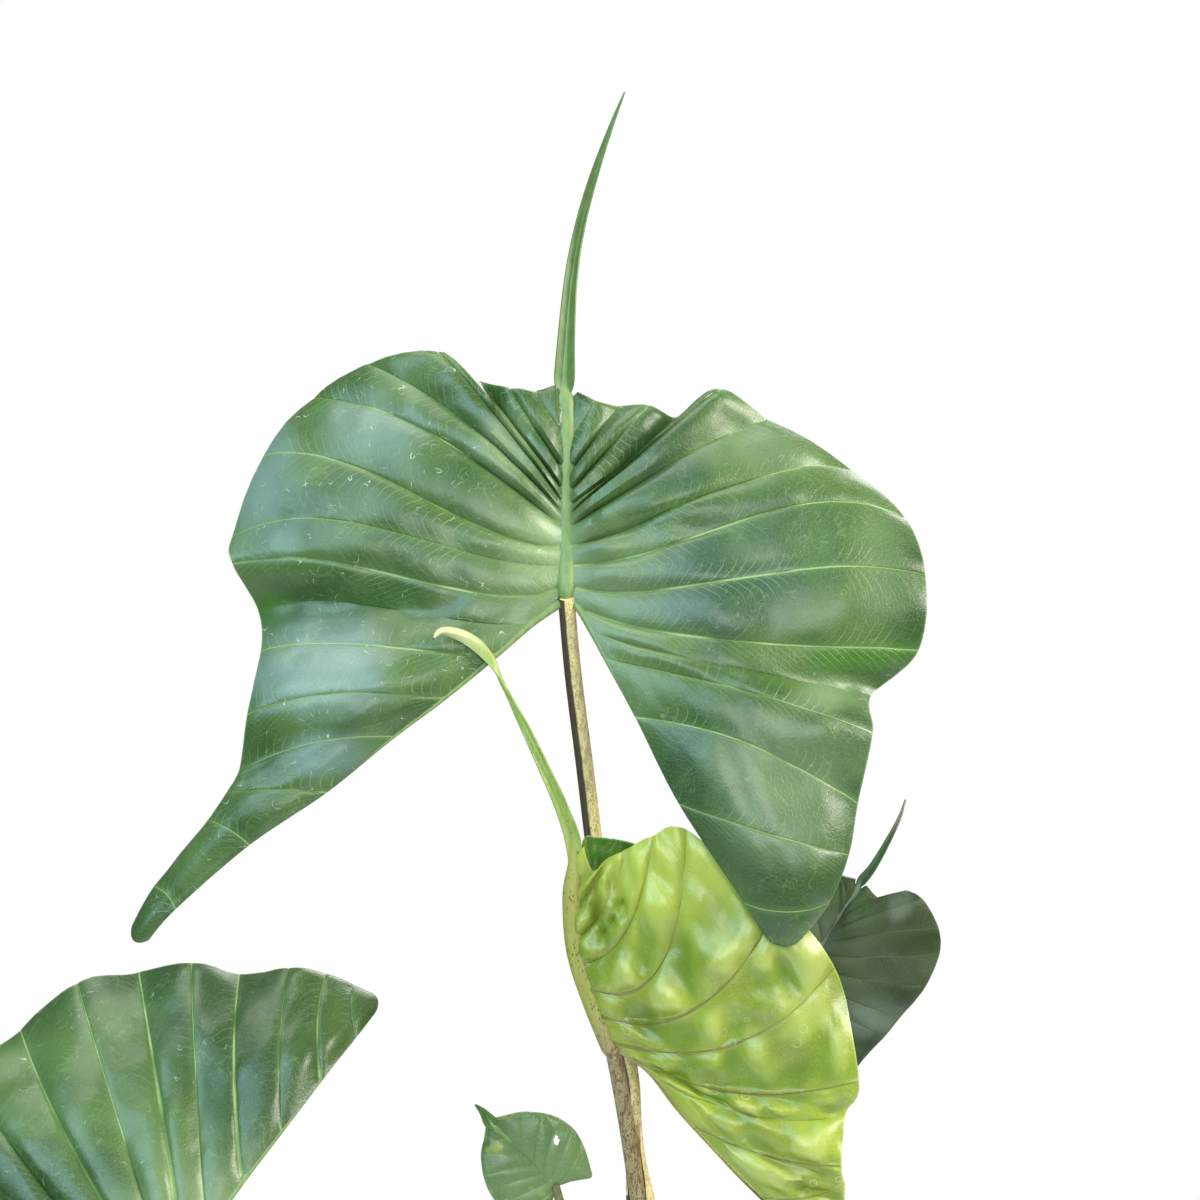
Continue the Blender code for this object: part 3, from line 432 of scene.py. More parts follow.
def turned_piece(name, rings, sides):
    """A disc extruded and resized from ring to ring of (radius, z), and closed at the end."""
    deselect()
    radius, z = rings[0]
    bpy.ops.mesh.primitive_circle_add(vertices=sides, radius=radius, fill_type="NGON", location=(0, 0, z))
    piece = bpy.context.object
    piece.name = piece.data.name = name
    bpy.ops.object.transform_apply(location=True)

    def grow():
        for (r0, z0), (r1, z1) in zip(rings, rings[1:]):
            bpy.ops.mesh.extrude_region_move(TRANSFORM_OT_translate={"value": (0, 0, z1 - z0)})
            if abs(r1 / r0 - 1) > 1e-6:
                bpy.ops.transform.resize(value=(r1 / r0, r1 / r0, 1), center_override=(0, 0, z1))

    edit(grow, kind="FACE")
    faces_out(piece)
    return piece


class Leaf:
    """Places a flat leaf's millimetres in the world. Each half may be turned about the midrib."""

    def __init__(self, hub, tip, face, turns=(0.0, math.pi), midrib=((0, 0), (0, 1))):
        self.hub = np.asarray(hub, float)
        self.tip = unit(tip)
        self.face = unit(np.asarray(face, float) - np.dot(face, self.tip) * self.tip)
        self.right = np.cross(self.tip, self.face)
        self.turns, self.midrib = turns, np.asarray(midrib, float)

    def facing(self, half):
        """Which way up is on a half."""
        turn = self.turns[half]
        return (1, -1)[half] * (math.cos(turn) * self.face + math.sin(turn) * self.right)

    def place(self, points, half):
        """Points of a half, given as (out from the midrib, along it, up)."""
        u, v, w = (points[..., [k]] for k in range(3))
        pivot = np.interp(v, self.midrib[:, 1], self.midrib[:, 0])
        outward = math.cos(self.turns[half]) * self.right - math.sin(self.turns[half]) * self.face
        return self.hub + MM * (
            pivot * self.right + (u - pivot) * outward + v * self.tip + w * self.facing(half)
        )

    def place_middle(self, points):
        """Points of the midrib or the tail."""
        u, v, w = (points[..., [k]] for k in range(3))
        return self.hub + MM * (u * self.right + v * self.tip + w * self.face)


def rough(points, size, seed):
    """Smooth random heights from -1 to 1 over points in millimetres."""
    flat = points.reshape(-1, points.shape[-1])
    heights = [noise.noise((u / size, v / size, seed)) for u, v in flat[:, :2]]
    return np.array(heights).reshape(points.shape[:-1])


def half_blade(rays, rows_between, columns, pucker, seed, raised, bows, swells):
    """A half blade's points in millimetres, and what its finish reads at each: the distance from the nearest
    vein, that vein's width, the distances out from the midrib and in from the margin, and the height of its
    swellings. pucker is how high the blade swells at random: broad, middling and small swellings, and a quilting
    between the veins. raised is 1 where the side that faces up is the underside, whose veins stand proud, and -1
    where it is the face, whose veins are sunk.
    """
    table = np.array([ray[:3] for ray in rays], float)
    pleats, widths = (np.array([ray[k] for ray in rays], float) for k in (3, 4))
    # rows are closer together beside the rays, and columns near the midrib
    steps = np.concatenate([[0], np.geomspace(0.02, 0.5, rows_between // 2)])
    steps = np.concatenate([steps, 1 - steps[-2:0:-1]])
    places = np.concatenate([k + steps for k in range(len(rays) - 1)] + [[len(rays) - 1]])
    ends = through(table, places)
    first = next(k for k, ray in enumerate(rays) if ray[0][1] > 0)
    # both halves share one line of points along the midrib
    for k in range(2):
        midrib = np.interp(places, range(len(rays)), table[:, 0, k])
        ends[:, 0, k] = np.where(places > first, midrib, ends[:, 0, k])
    ends[:, 0, 2] = np.where(places > first, 0, ends[:, 0, 2])
    t = np.linspace(0, 1, columns) ** 1.25
    start, middle, margin = (ends[:, k][:, None, :] for k in range(3))
    x = t[None, :, None]
    grid = start * (2 * x**2 - 3 * x + 1) + middle * (4 * x - 4 * x**2) + margin * (2 * x**2 - x)

    # bowed rays, and swells of their own
    bow = 16 * t * (1 - t) * (0.5 - t)
    grid[:, :, 1] -= np.interp(places, range(len(bows)), bows)[:, None] * bow[None, :]
    for across, up, reach_across, reach_up, height in swells:
        far = ((grid[:, :, 0] - across) / reach_across) ** 2 + ((grid[:, :, 1] - up) / reach_up) ** 2
        grid[:, :, 2] += height * np.exp(-far) * smooth(t, 0, 0.15)[None, :]

    # a bulge between each two rays, with a smaller fold in the deepest ones
    height = np.maximum(through(pleats, places), 0)
    beside = np.abs(np.sin(math.pi * places))
    reach = smooth(t, 0, 0.12) * (1 - 0.65 * t)
    grid[:, :, 2] += (height * (beside**0.8 - 0.5))[:, None] * reach[None, :]
    folds = np.abs(np.sin(2 * math.pi * places)) * np.clip(height - 2.5, 0, 3)
    grid[:, :, 2] += 0.45 * folds[:, None] * (smooth(t, 0, 0.1) * smooth(t, 0.75, 0.3))[None, :]

    # random swells, and a margin that waves and rolls down
    swell = np.sqrt(beside)[:, None] * smooth(t, 0, 0.2)[None, :]
    clear = smooth(t, 0, 0.25)[None, :]
    broad, middling, small, quilt = pucker
    reached = np.linalg.norm(grid - grid[:, :1], axis=2)
    between = np.stack([reached, np.tile(15 * places[:, None], (1, columns))], 2)
    rise = clear * broad * rough(grid, 46, seed)
    rise += swell * (middling * rough(grid, 19, seed + 7) + small * rough(grid, 9, seed + 9))
    rise += swell * quilt * rough(between, 10, seed + 2)
    grid[:, :, 2] += rise
    edge = smooth(t, 0.8, 1)[None, :]
    grid[:, :, 2] += edge * (1.6 * rough(grid, 13, seed + 3) + 0.4 * rough(grid, 4, seed + 5))
    grid[:, :, 2] -= 1.1 * smooth(t, 0.955, 1)[None, :]

    # veins, and the sharp creases that they lie in beside the midrib
    out = np.linalg.norm(np.diff(grid, axis=1), axis=2)
    along = np.concatenate([np.zeros((len(grid), 1)), np.cumsum(out, axis=1)], 1)
    veined = [k for k, width in enumerate(widths) if width > 0]
    rows = [int(np.argmin(np.abs(places - k))) for k in veined]
    apart = np.linalg.norm(grid[:, None] - grid[rows][None], axis=3)
    distance = apart.min(1)
    width = widths[veined][apart.argmin(1)] * (1 - 0.72 * t[None, :])
    depth = 0.42 * width * np.exp(-((distance / (0.75 * width + 0.05)) ** 2))
    grid[:, :, 2] += raised * depth * smooth(t, 0, 0.03)[None, :]
    crease = np.clip(height - 2.2, 0, 2.5)[:, None] * (smooth(t, 0.02, 0.1) * smooth(t, 0.62, 0.3))[None, :]
    grid[:, :, 2] -= 0.85 * crease * np.exp(-((distance / 1.9) ** 2))
    marks = {"vein": distance, "width": width, "along": along, "rim": along[:, -1:] - along, "rise": rise}
    return grid, marks


def bite(blade, hub, across, up, wide, tall):
    """Takes the faces in an ellipse out of a blade, seen from the front. All sizes are in metres."""
    mesh = bmesh.new()
    mesh.from_mesh(blade.data)
    eaten = []
    for face in mesh.faces:
        middle = face.calc_center_median()
        x, z = middle.x - hub[0] - across, middle.z - hub[2] - up
        if (x / wide) ** 2 + (z / tall) ** 2 < 1:
            eaten.append(face)
    bmesh.ops.delete(mesh, geom=eaten, context="FACES")
    mesh.to_mesh(blade.data)
    mesh.free()


def leaf_piece(
    name, leaf, halves, ribs, midrib, finishes, pucker, thickness, slot, node, rows=12, columns=48, raised=-1,
    bows=((0, 0), (0, 0)), swells=((), ()), hole=None,
):
    """A whole leaf: two half blades given a thickness, ribs beside the notch, and the midrib with its tail. hole
    is what an insect has eaten through it: (across, up, reach across, reach up), in millimetres from the hub.
    """
    top, under, rib, tail = finishes
    sheets = []
    for half, rays in enumerate(halves):
        seed = 3.1 + 11 * half + len(name)
        grid, marks = half_blade(rays, rows, columns, pucker, seed, raised, bows[half], swells[half])
        sheets.append(grid_piece(f"{name}_{half}", leaf.place(grid, half), marks))
    activate(sheets[1])
    sheets[1].data.flip_normals()
    blade = joined(sheets, name, 2e-5)
    if hole:
        bite(blade, leaf.hub, *(MM * value for value in hole))
    wear(blade, top, under)
    apply_modifier(blade, "SOLIDIFY", thickness=thickness, offset=0, material_offset=1, material_offset_rim=1)

    # the midrib is solid on the blade, and thins under the tail that grows out of it
    places = np.linspace(0, len(midrib) - 1, 10 * len(midrib))
    spine = through(midrib, places)
    reach = next(k for k, row in enumerate(midrib) if row[1] > halves[0][-1][0][1])
    tail_from = np.searchsorted(places, reach - 1.0)
    solid = smooth(np.arange(len(places)), tail_from + 14, tail_from)
    raised_by = spine[:, [2]] - 0.5 + 0.18 * spine[:, [3]] * solid[:, None]
    line = leaf.place_middle(np.concatenate([spine[:, :2], raised_by], 1))
    foot = smooth(spine[:, 1], 5 * midrib[0][3], -2)
    end = np.sqrt(np.clip(np.arange(len(places)) / 3.0, 0.12, 1))
    sections = [
        round_section(max(w, 0.15) * MM * (0.35 + 0.72 * s) * closed, 20, 0.5 + 0.14 * s + 0.3 * full)
        for w, s, full, closed in zip(spine[:, 3], solid, foot, end)
    ]
    parts = [rod("spine", line, sections, [leaf.face] * len(line), rib)]
    parts.append(tail_piece(leaf, spine[tail_from:], tail, thickness))

    # the ribs that edge the notch run from the hub through the first rays' starts
    thick = midrib[0][3]
    for half, rays in enumerate(halves):
        points = [np.array([0.2, -0.2, -0.2]) * thick]
        for start, middle, *_ in rays[ribs[half] - 1 : 0 : -1]:
            inward = unit(np.array(middle, float) - start)
            points.append(start + 0.34 * thick * inward + np.array((0, 0, -0.12 * thick)))
        points.append(0.6 * np.array(rays[0][0]) + 0.4 * np.array(rays[0][1]) + np.array((0, 0, -0.3)))
        path = leaf.place(through(points, np.linspace(0, len(points) - 1, 8 * len(points))), half)
        radii = np.linspace(0.50, 0.13, len(path)) * thick * MM
        sections = [round_section(radius, 14, 0.72) for radius in radii]
        parts.append(rod(f"rib_{half}", path, sections, [leaf.facing(half)] * len(path), rib))
    settle(joined([blade, *parts], name), slot, node)


def tail_piece(leaf, spine, finish, thickness):
    """The tail: a narrow channel of blade that twists and tapers to a point."""
    across = np.linspace(-1, 1, 9)
    places = []
    line = spine[:, :3]
    grown = smooth(np.arange(len(spine)), 0, 13)
    for (u, v, w, half_width, twist), step, share in zip(spine, np.gradient(line, axis=0), grown):
        ahead = unit(step)
        side = unit(np.cross(ahead, (0, 0, 1)))
        up = np.cross(side, ahead)
        turn = math.radians(twist)
        side, up = side * math.cos(turn) + up * math.sin(turn), up * math.cos(turn) - side * math.sin(turn)
        half_width *= 0.4 + 0.6 * share
        rise = 0.75 * share * (np.abs(across) ** 1.3 - 0.2)
        places.append(np.array([u, v, w]) + half_width * (across[:, None] * 0.92 * side + rise[:, None] * up))
    world = leaf.place_middle(np.array(places))
    blank = np.zeros(world.shape[:2])
    marks = {"around": blank + across / 2 + 0.5, "length": blank + np.linspace(0, 0.14, len(world))[:, None]}
    piece = grid_piece("tail", world, marks)
    wear(piece, finish)
    apply_modifier(piece, "SOLIDIFY", thickness=thickness, offset=0)
    return piece


# Finishes


class Wire:
    """A node's output in a finish. Arithmetic on it adds Math nodes."""

    def __init__(self, finish, socket):
        self.finish, self.socket = finish, socket

    def maths(self, operation, *values):
        return self.finish.node("ShaderNodeMath", {"operation": operation}, dict(enumerate(values)))

    def __add__(self, other):
        return self.maths("ADD", self, other)

    def __sub__(self, other):
        return self.maths("SUBTRACT", self, other)

    def __mul__(self, other):
        return self.maths("MULTIPLY", self, other)

    def __truediv__(self, other):
        return self.maths("DIVIDE", self, other)

    def __rsub__(self, other):
        return self.maths("SUBTRACT", other, self)

    def __rtruediv__(self, other):
        return self.maths("DIVIDE", other, self)

    def __abs__(self):
        return self.maths("ABSOLUTE", self)

    def between(self, spacing):
        """Distance from the nearest whole multiple of spacing, in the units of spacing."""
        return abs(self.maths("FRACT", self / spacing + 0.5) - 0.5) * spacing

    def most(self, other):
        return self.maths("MAXIMUM", self, other)

    __radd__, __rmul__ = __add__, __mul__


class Finish:
    """A material written as expressions. Constant sockets of its shader are given by name."""

    def __init__(self, name, **constants):
        self.material = bpy.data.materials.new(name)
        self.material.use_nodes = True
        self.tree = self.material.node_tree
        self.shader = self.tree.nodes["Principled BSDF"]
        for socket, value in constants.items():
            self.shader.inputs[socket.replace("_", " ")].default_value = value
        self.place = self.node("ShaderNodeTexCoord", out="Object")

    def feed(self, socket, value):
        if isinstance(value, Wire):
            self.tree.links.new(value.socket, socket)
        elif isinstance(value, (tuple, list)) and socket.type == "RGBA":
            socket.default_value = (*value[:3], 1)
        else:
            socket.default_value = value

    def node(self, kind, settings=None, values=None, out=0):
        made = self.tree.nodes.new(kind)
        for key, value in (settings or {}).items():
            setattr(made, key, value)
        for key, value in (values or {}).items():
            self.feed(made.inputs[key], value)
        return Wire(self, made.outputs[out])

    def mark(self, name):
        return self.node("ShaderNodeAttribute", {"attribute_name": name}, out="Fac")

    def fade(self, value, start, end):
        """0 at start to 1 at end, eased."""
        settings = {"interpolation_type": "SMOOTHSTEP"}
        return self.node("ShaderNodeMapRange", settings, {"Value": value, "From Min": start, "From Max": end})

    def mix(self, share, low, high):
        values = {"Factor": share, 6: low, 7: high}
        return self.node("ShaderNodeMix", {"data_type": "RGBA"}, values, out=2)

    def near(self, centre, reach, uneven):
        """1 round centre, fading unevenly to 0 at reach."""
        off = self.node("ShaderNodeVectorMath", {"operation": "SUBTRACT"}, {0: self.place, 1: centre})
        off = self.node("ShaderNodeVectorMath", {"operation": "DIVIDE"}, {0: off, 1: reach})
        far = self.node("ShaderNodeVectorMath", {"operation": "LENGTH"}, {0: off}, out="Value")
        return self.fade(far + uneven, 1.0, 0.25)

    def stretch(self, scale, turn=(0, 0, 0)):
        return self.node("ShaderNodeMapping", None, {"Vector": self.place, "Scale": scale, "Rotation": turn})

    def noise(self, scale, detail=3, rough=0.5, where=None, warp=0.0):
        values = {"Vector": where or self.place, "Scale": scale, "Detail": detail, "Roughness": rough}
        values["Distortion"] = warp
        return self.node("ShaderNodeTexNoise", None, values)

    def cells(self, scale, feature="F1", where=None):
        values = {"Vector": where or self.place, "Scale": scale}
        return self.node("ShaderNodeTexVoronoi", {"feature": feature}, values, "Distance")

    def part(self, axis):
        """The place along one axis."""
        return self.node("ShaderNodeSeparateXYZ", None, {0: self.place}, axis)

    def surface(self, colour, roughness=None, height=None, depth=0.001, alpha=None):
        """Feeds the shader. height is a fraction of depth, in metres."""
        self.feed(self.shader.inputs["Base Color"], colour)
        if roughness is not None:
            self.feed(self.shader.inputs["Roughness"], roughness)
        if height is not None:
            bump = self.node("ShaderNodeBump", None, {"Strength": 1.0, "Distance": depth, "Height": height})
            self.feed(self.shader.inputs["Normal"], bump)
        if alpha is not None:
            self.feed(self.shader.inputs["Alpha"], alpha)
        return self


def leaf_finish(
    name, deep, fresh, vein_colour, relief, gloss, coat, glow=0.0, pitch=5.4, hub=None, bloom=None,
    combs=0.5, glints=0.8, extra=None, painted_light=(),
):
    """A leaf's surface: main veins, the side veins that curve out of them, and the fine net between. pitch is
    the side veins' spacing in millimetres, and bloom the colour that the blade pales to round its hub. combs and
    glints are how strongly the side veins and the painted highlights, small bright flecks, show, and extra adds
    what one leaf alone has. The painted light laid over places round the hub is painted reflections, highlights,
    shade and light through the blade.
    """
    f = Finish(
        name,
        Specular_IOR_Level=0.55 if coat else 0.30,
        Coat_Weight=coat,
        Coat_Roughness=0.9 * gloss,
        Subsurface_Weight=glow,
        Subsurface_Scale=0.004,
        Subsurface_Radius=(0.5, 1.0, 0.12),
    )
    vein, width, along, rim = (f.mark(mark) for mark in ("vein", "width", "along", "rim"))
    bright = tuple(min(1, 1.5 * c + 0.03) for c in fresh)
    line = f.fade(vein, width * 0.62 + 0.12, width * 0.30)
    lean = 1 - vein.maths("EXPONENT", vein * -0.11)
    side = along - lean * (3.4 * pitch) + f.noise(22, 2) * (3.0 * pitch) + f.noise(130, 2) * (0.5 * pitch)
    shown = f.fade(f.noise(34, 2), 0.40, 0.60)
    branch = f.fade(side.between(pitch), 0.32, 0.10) * f.fade(vein, 15, 3) * shown
    loops = f.noise(105, 3, 0.5, warp=0.7)
    twig = f.fade(abs(loops - 0.5), 0.020, 0.006) * f.fade(f.noise(58, 2), 0.46, 0.60)
    net = f.fade(f.cells(560, "DISTANCE_TO_EDGE"), 0.09, 0.02)
    broad = f.noise(13, 3, 0.55, warp=0.3)
    colour = f.mix(f.fade(broad, 0.38, 0.64), deep, fresh)
    uneven = (f.noise(38, 3) - 0.5) * 0.9
    # painted light and shade: each painted tone laid over its places round the hub, with uneven edges
    for painted_tone, places in painted_light:
        shown = None
        for x, z, reach_x, reach_z, share in places:
            near = f.near((hub[0] + x * MM, 0, hub[2] + z * MM), (reach_x * MM, 1, reach_z * MM), uneven) * share
            shown = near if shown is None else shown.most(near)
        colour = f.mix(shown, colour, painted_tone)
    colour = f.mix(f.fade(f.noise(42, 3), 0.48, 0.72) * 0.24, colour, bright)
    colour = f.mix(net * 0.14, colour, bright)
    if hub:
        near = f.node("ShaderNodeVectorMath", {"operation": "DISTANCE"}, {0: f.place, 1: hub}, out="Value")
        colour = f.mix(f.fade(near + f.noise(60, 2) * 0.03, 0.085, 0.022) * 0.55, colour, bloom)
    colour = f.mix(twig * 0.15, colour, vein_colour)
    colour = f.mix(f.fade(vein, 3.6, 0.4) * 0.24, colour, bright)
    colour = f.mix(branch * combs, colour, vein_colour)
    colour = f.mix(line * 0.92, colour, vein_colour)
    colour = f.mix(f.fade(rim, 1.0, 0.2) * 0.6, colour, tuple(min(1, 1.5 * c + 0.06) for c in fresh))
    # glints: painted highlights, short bright flecks, fewer right of the hub
    curls = abs(f.noise(170, 0) - 0.5)
    glint = f.fade(curls, 0.0105, 0.003) * f.fade(f.cells(215), 0.38, 0.30) * f.fade(f.noise(28, 2), 0.34, 0.46)
    if hub:
        beside = f.part("X") - hub[0]
        glint = glint * (0.25 + 0.75 * f.fade(beside, 0.03, -0.04))
    colour = f.mix(glint * glints, colour, (0.60, 0.74, 0.50))
    height = f.noise(85, 3, 0.5) * 0.9 + net * -0.05 + f.noise(1300, 2) * 0.07 + branch * -0.12 + glint * 0.1
    if extra:
        colour, height = extra(f, colour, height, vein)
    roughness = gloss + f.noise(70, 3) * 0.14 + line * 0.06
    return f.surface(colour, roughness, height, relief)


def spotted(f, colour, height, vein):
    """Rings that water leaves on the newest leaf, with painted shade in the hollows of its swells, painted
    highlights on their crests and painted light paling its top.
    """
    drop = f.cells(105, where=f.stretch((1, 1, 1), (0.4, 0.1, 0.7))) + f.noise(260, 2) * 0.10
    low = f.fade(f.part("Z"), 0.52, 0.45)
    ring = f.fade(abs(drop - 0.24), 0.035, 0.010) * low * f.fade(f.noise(60, 1), 0.44, 0.52)
    colour = f.mix(ring * 0.5, colour, (0.60, 0.70, 0.34))
    shade = f.fade(f.noise(30, 2, warp=0.6), 0.40, 0.66)
    colour = f.mix(shade * 0.35, colour, (0.14, 0.27, 0.014))
    # painted shade in the hollows of the swells, and painted highlights on their crests
    rise = f.mark("rise")
    colour = f.mix(f.fade(rise, -0.2, -2.1) * 0.58, colour, (0.115, 0.195, 0.003))
    colour = f.mix(f.fade(rise, 0.4, 2.4) * 0.45, colour, (0.58, 0.64, 0.18))
    # painted light: the top of the leaf paler
    colour = f.mix(f.fade(f.part("Z") + f.noise(30, 2) * 0.04, 0.525, 0.575) * 0.70, colour, (0.60, 0.68, 0.11))
    brown = f.fade(vein, 5.0, 0.6) * 0.30
    return f.mix(brown, colour, (0.20, 0.22, 0.02)), height + ring * 0.15


def pest_marked(f, colour, height, vein):
    """Yellow blotches on the smallest leaf, which don't follow its veins."""
    blotch = f.fade(f.noise(95, 3), 0.56, 0.70)
    return f.mix(blotch * 0.75, colour, (0.40, 0.45, 0.08)), height


def rib_finish(name, green, streak, speck, amount=0.0, tip=None, foot=None):
    """Midribs, tails and the ribs beside the notch. tip is the colour a tail dries to, and foot its stalk's."""
    f = Finish(name, Specular_IOR_Level=0.5)
    around, length = f.mark("around"), f.mark("length")
    grain = f.noise(420, 3, where=f.stretch((1, 1, 0.12)))
    colour = f.mix(f.fade(grain, 0.35, 0.65) * 0.6, green, streak)
    middle = f.fade(abs(around - 0.5), 0.22, 0.05)
    colour = f.mix(middle * 0.35, colour, streak)
    if amount:
        dots = f.fade(f.cells(900, where=f.stretch((1, 1, 0.5))), 0.42, 0.22) * f.fade(f.noise(120, 2), 0.44, 0.60)
        colour = f.mix(dots * amount, colour, speck)
    if foot:
        brown = f.fade(f.noise(620, 4, 0.62, where=f.stretch((1, 1, 0.40)), warp=0.3), 0.50, 0.60) * 0.7
        colour = f.mix(f.fade(length + grain * 0.012, 0.034, 0.008), colour, f.mix(brown, foot, speck))
    if tip:
        colour = f.mix(f.fade(length, 0.088, 0.112) * 0.75, colour, tip)
        colour = f.mix(f.fade(length, 0.1355, 0.1385), colour, (0.16, 0.08, 0.02))
    return f.surface(colour, 0.36 + f.noise(200) * 0.15, grain * 0.6 + f.noise(900, 2) * 0.3, 0.00025)


def stalk_finish(name, pale, mid, dark, painted_shade=0.0, amount=0.8):
    """A mottled stalk: streaks and broken blotches drawn out along it, with painted shade of the given strength down
    its left side.
    """
    f = Finish(name, Specular_IOR_Level=0.45, Coat_Weight=0.08, Coat_Roughness=0.3)
    around = f.mark("around")
    streak = f.noise(420, 4, 0.6, where=f.stretch((1, 1, 0.10)))
    blotch = f.noise(620, 4, 0.62, where=f.stretch((1, 1, 0.40)), warp=0.3)
    speck = f.cells(1500, where=f.stretch((1, 1, 0.5)))
    colour = f.mix(f.fade(streak, 0.35, 0.66), pale, mid)
    colour = f.mix(f.fade(blotch, 0.50, 0.60) * 0.75 * amount, colour, dark)
    colour = f.mix(f.fade(speck, 0.46, 0.26) * f.fade(f.noise(190, 2), 0.38, 0.52) * amount, colour, dark)
    # painted shade down the stalk's left side
    if painted_shade:
        ragged = around + (f.noise(300, 3, where=f.stretch((1, 1, 0.3))) - 0.5) * 0.05
        left = f.fade(ragged, 0.700, 0.730).most(f.fade(ragged, 0.30, 0.22))
        colour = f.mix(left * painted_shade, colour, (0.030, 0.016, 0.013))
    height = streak * 0.5 + blotch * 0.3 + f.noise(1500, 2) * 0.2
    return f.surface(colour, 0.42 + blotch * 0.22, height, 0.0003)


def pot_finish(colour):
    f = Finish("moulded_pot", Specular_IOR_Level=0.4)
    grain = f.noise(2600, 2)
    scuff = f.fade(f.noise(60, 5, 0.7, where=f.stretch((1, 1, 0.25))), 0.56, 0.74)
    dust = f.fade(f.noise(18, 4, 0.6), 0.42, 0.75)
    shown = f.mix(dust * 0.35, tuple(colour), (0.075, 0.072, 0.068))
    shown = f.mix(scuff * 0.25, shown, (0.12, 0.118, 0.112))
    return f.surface(shown, 0.44 + scuff * 0.15 + grain * 0.08, grain, 0.00012)


def soil_finish():
    f = Finish("potting_mix", Specular_IOR_Level=0.25)
    crumb = f.cells(380)
    fine = f.noise(900, 5, 0.7)
    colour = f.mix(f.fade(f.noise(120, 4, 0.7), 0.35, 0.65), (0.018, 0.011, 0.007), (0.07, 0.042, 0.024))
    colour = f.mix(f.fade(f.cells(700), 0.25, 0.1) * 0.3, colour, (0.16, 0.10, 0.055))
    return f.surface(colour, 0.92, crumb * -0.7 + fine * 0.6 + f.noise(200, 4) * 0.6, 0.0022)


def bit_finish(name, low, high, roughness):
    f = Finish(name, Specular_IOR_Level=0.3)
    grain = f.noise(600, 4, 0.7, where=f.stretch((1, 0.3, 1)))
    return f.surface(f.mix(f.fade(grain, 0.3, 0.7), low, high), roughness, grain, 0.0006)


def stem_finish():
    f = Finish("old_stem", Specular_IOR_Level=0.3)
    bark = f.noise(240, 5, 0.65, where=f.stretch((1, 1, 0.6)))
    colour = f.mix(f.fade(bark, 0.32, 0.68), (0.10, 0.062, 0.030), (0.30, 0.21, 0.105))
    colour = f.mix(f.fade(f.noise(60, 3), 0.5, 0.7) * 0.5, colour, (0.20, 0.22, 0.08))
    return f.surface(colour, 0.75, bark + f.noise(900, 3) * 0.4, 0.0009)


# Settings and operators

SPECK = (0.1, 0.06, 0.02)


def colour_setting(name, description, default):
    return FloatVectorProperty(
        name=name, description=description, subtype="COLOR", size=3, default=default, min=0, max=1
    )


def length_setting(name, description, default, low, high):
    return FloatProperty(
        name=name, description=description, default=default, min=low, max=high, precision=4, subtype="DISTANCE",
        unit="LENGTH",
    )


class TaroSettings(bpy.types.PropertyGroup):
    leaf_colour: colour_setting("Leaf", "Colour of a full-grown leaf's face", (0.078, 0.150, 0.032))
    shade_colour: colour_setting("Leaf shade", "Deeper green between a leaf's veins", (0.024, 0.072, 0.013))
    vein_colour: colour_setting("Veins", "Colour of the veins on a leaf's face", (0.30, 0.44, 0.15))
    new_colour: colour_setting("New leaf", "Colour of the newest leaf's underside", (0.32, 0.39, 0.030))
    stalk_colour: colour_setting("Stalk", "Pale ground colour of the stalks", (0.40, 0.32, 0.145))
    blotch_colour: colour_setting("Stalk blotches", "Colour of the stalks' mottling", (0.095, 0.050, 0.025))
    pot_colour: colour_setting("Pot", "Colour of the plastic pot", (0.022, 0.023, 0.025))
    blade_thickness: length_setting("Blade thickness", "Thickness of a leaf's blade", 0.0007, 0.0003, 0.0012)
    vein_relief: length_setting("Surface relief", "Depth of a leaf's fine unevenness", 0.0006, 0, 0.002)
    chips: IntProperty(
        name="Bark chips", description="Number of bark chips on the soil", default=150, min=0, max=400
    )
    grit: IntProperty(name="Grit", description="Number of white grains on the soil", default=120, min=0, max=400)


def settings():
    return bpy.context.scene.taro


def times(colour, share, other=(0, 0, 0), other_share=1.0):
    """A share of a colour, and of another added to it."""
    return tuple(share * a + other_share * b for a, b in zip(colour, other))


def green_finishes(prefix, hub, dim=1.0, pitch=4.2, combs=0.40, glints=0.62, extra=None, painted_light=()):
    """A green leaf's face, underside, midrib and tail. dim darkens all four, and a dark leaf's face is dull."""
    s = settings()
    fresh, deep, veins = (times(colour, dim) for colour in (s.leaf_colour, s.shade_colour, s.vein_colour))
    bloom = tuple(0.5 * (a + b) + 0.05 for a, b in zip(fresh, veins))
    gloss, coat = (0.28, 0.25) if dim > 0.5 else (0.42, 0.0)
    top = leaf_finish(
        f"{prefix}_face", deep, fresh, veins, s.vein_relief, gloss, coat, 0.05, pitch, hub, bloom, combs, glints,
        extra, painted_light,
    )
    pale = tuple(0.55 * c + 0.035 for c in fresh)
    under = leaf_finish(
        f"{prefix}_underside", times(pale, 0.8), pale, times(pale, 1.7), s.vein_relief, 0.46, 0.0, 0.05, pitch,
        combs=combs, glints=0.0,
    )
    rib = rib_finish(f"{prefix}_rib", times(fresh, 0.65, veins, 0.28), times(fresh, 0.4, veins, 0.66), SPECK)
    tail = rib_finish(f"{prefix}_tail", times(fresh, 0.9, veins, 0.06), times(fresh, 0.9, veins, 0.22), SPECK)
    return top, under, rib, tail


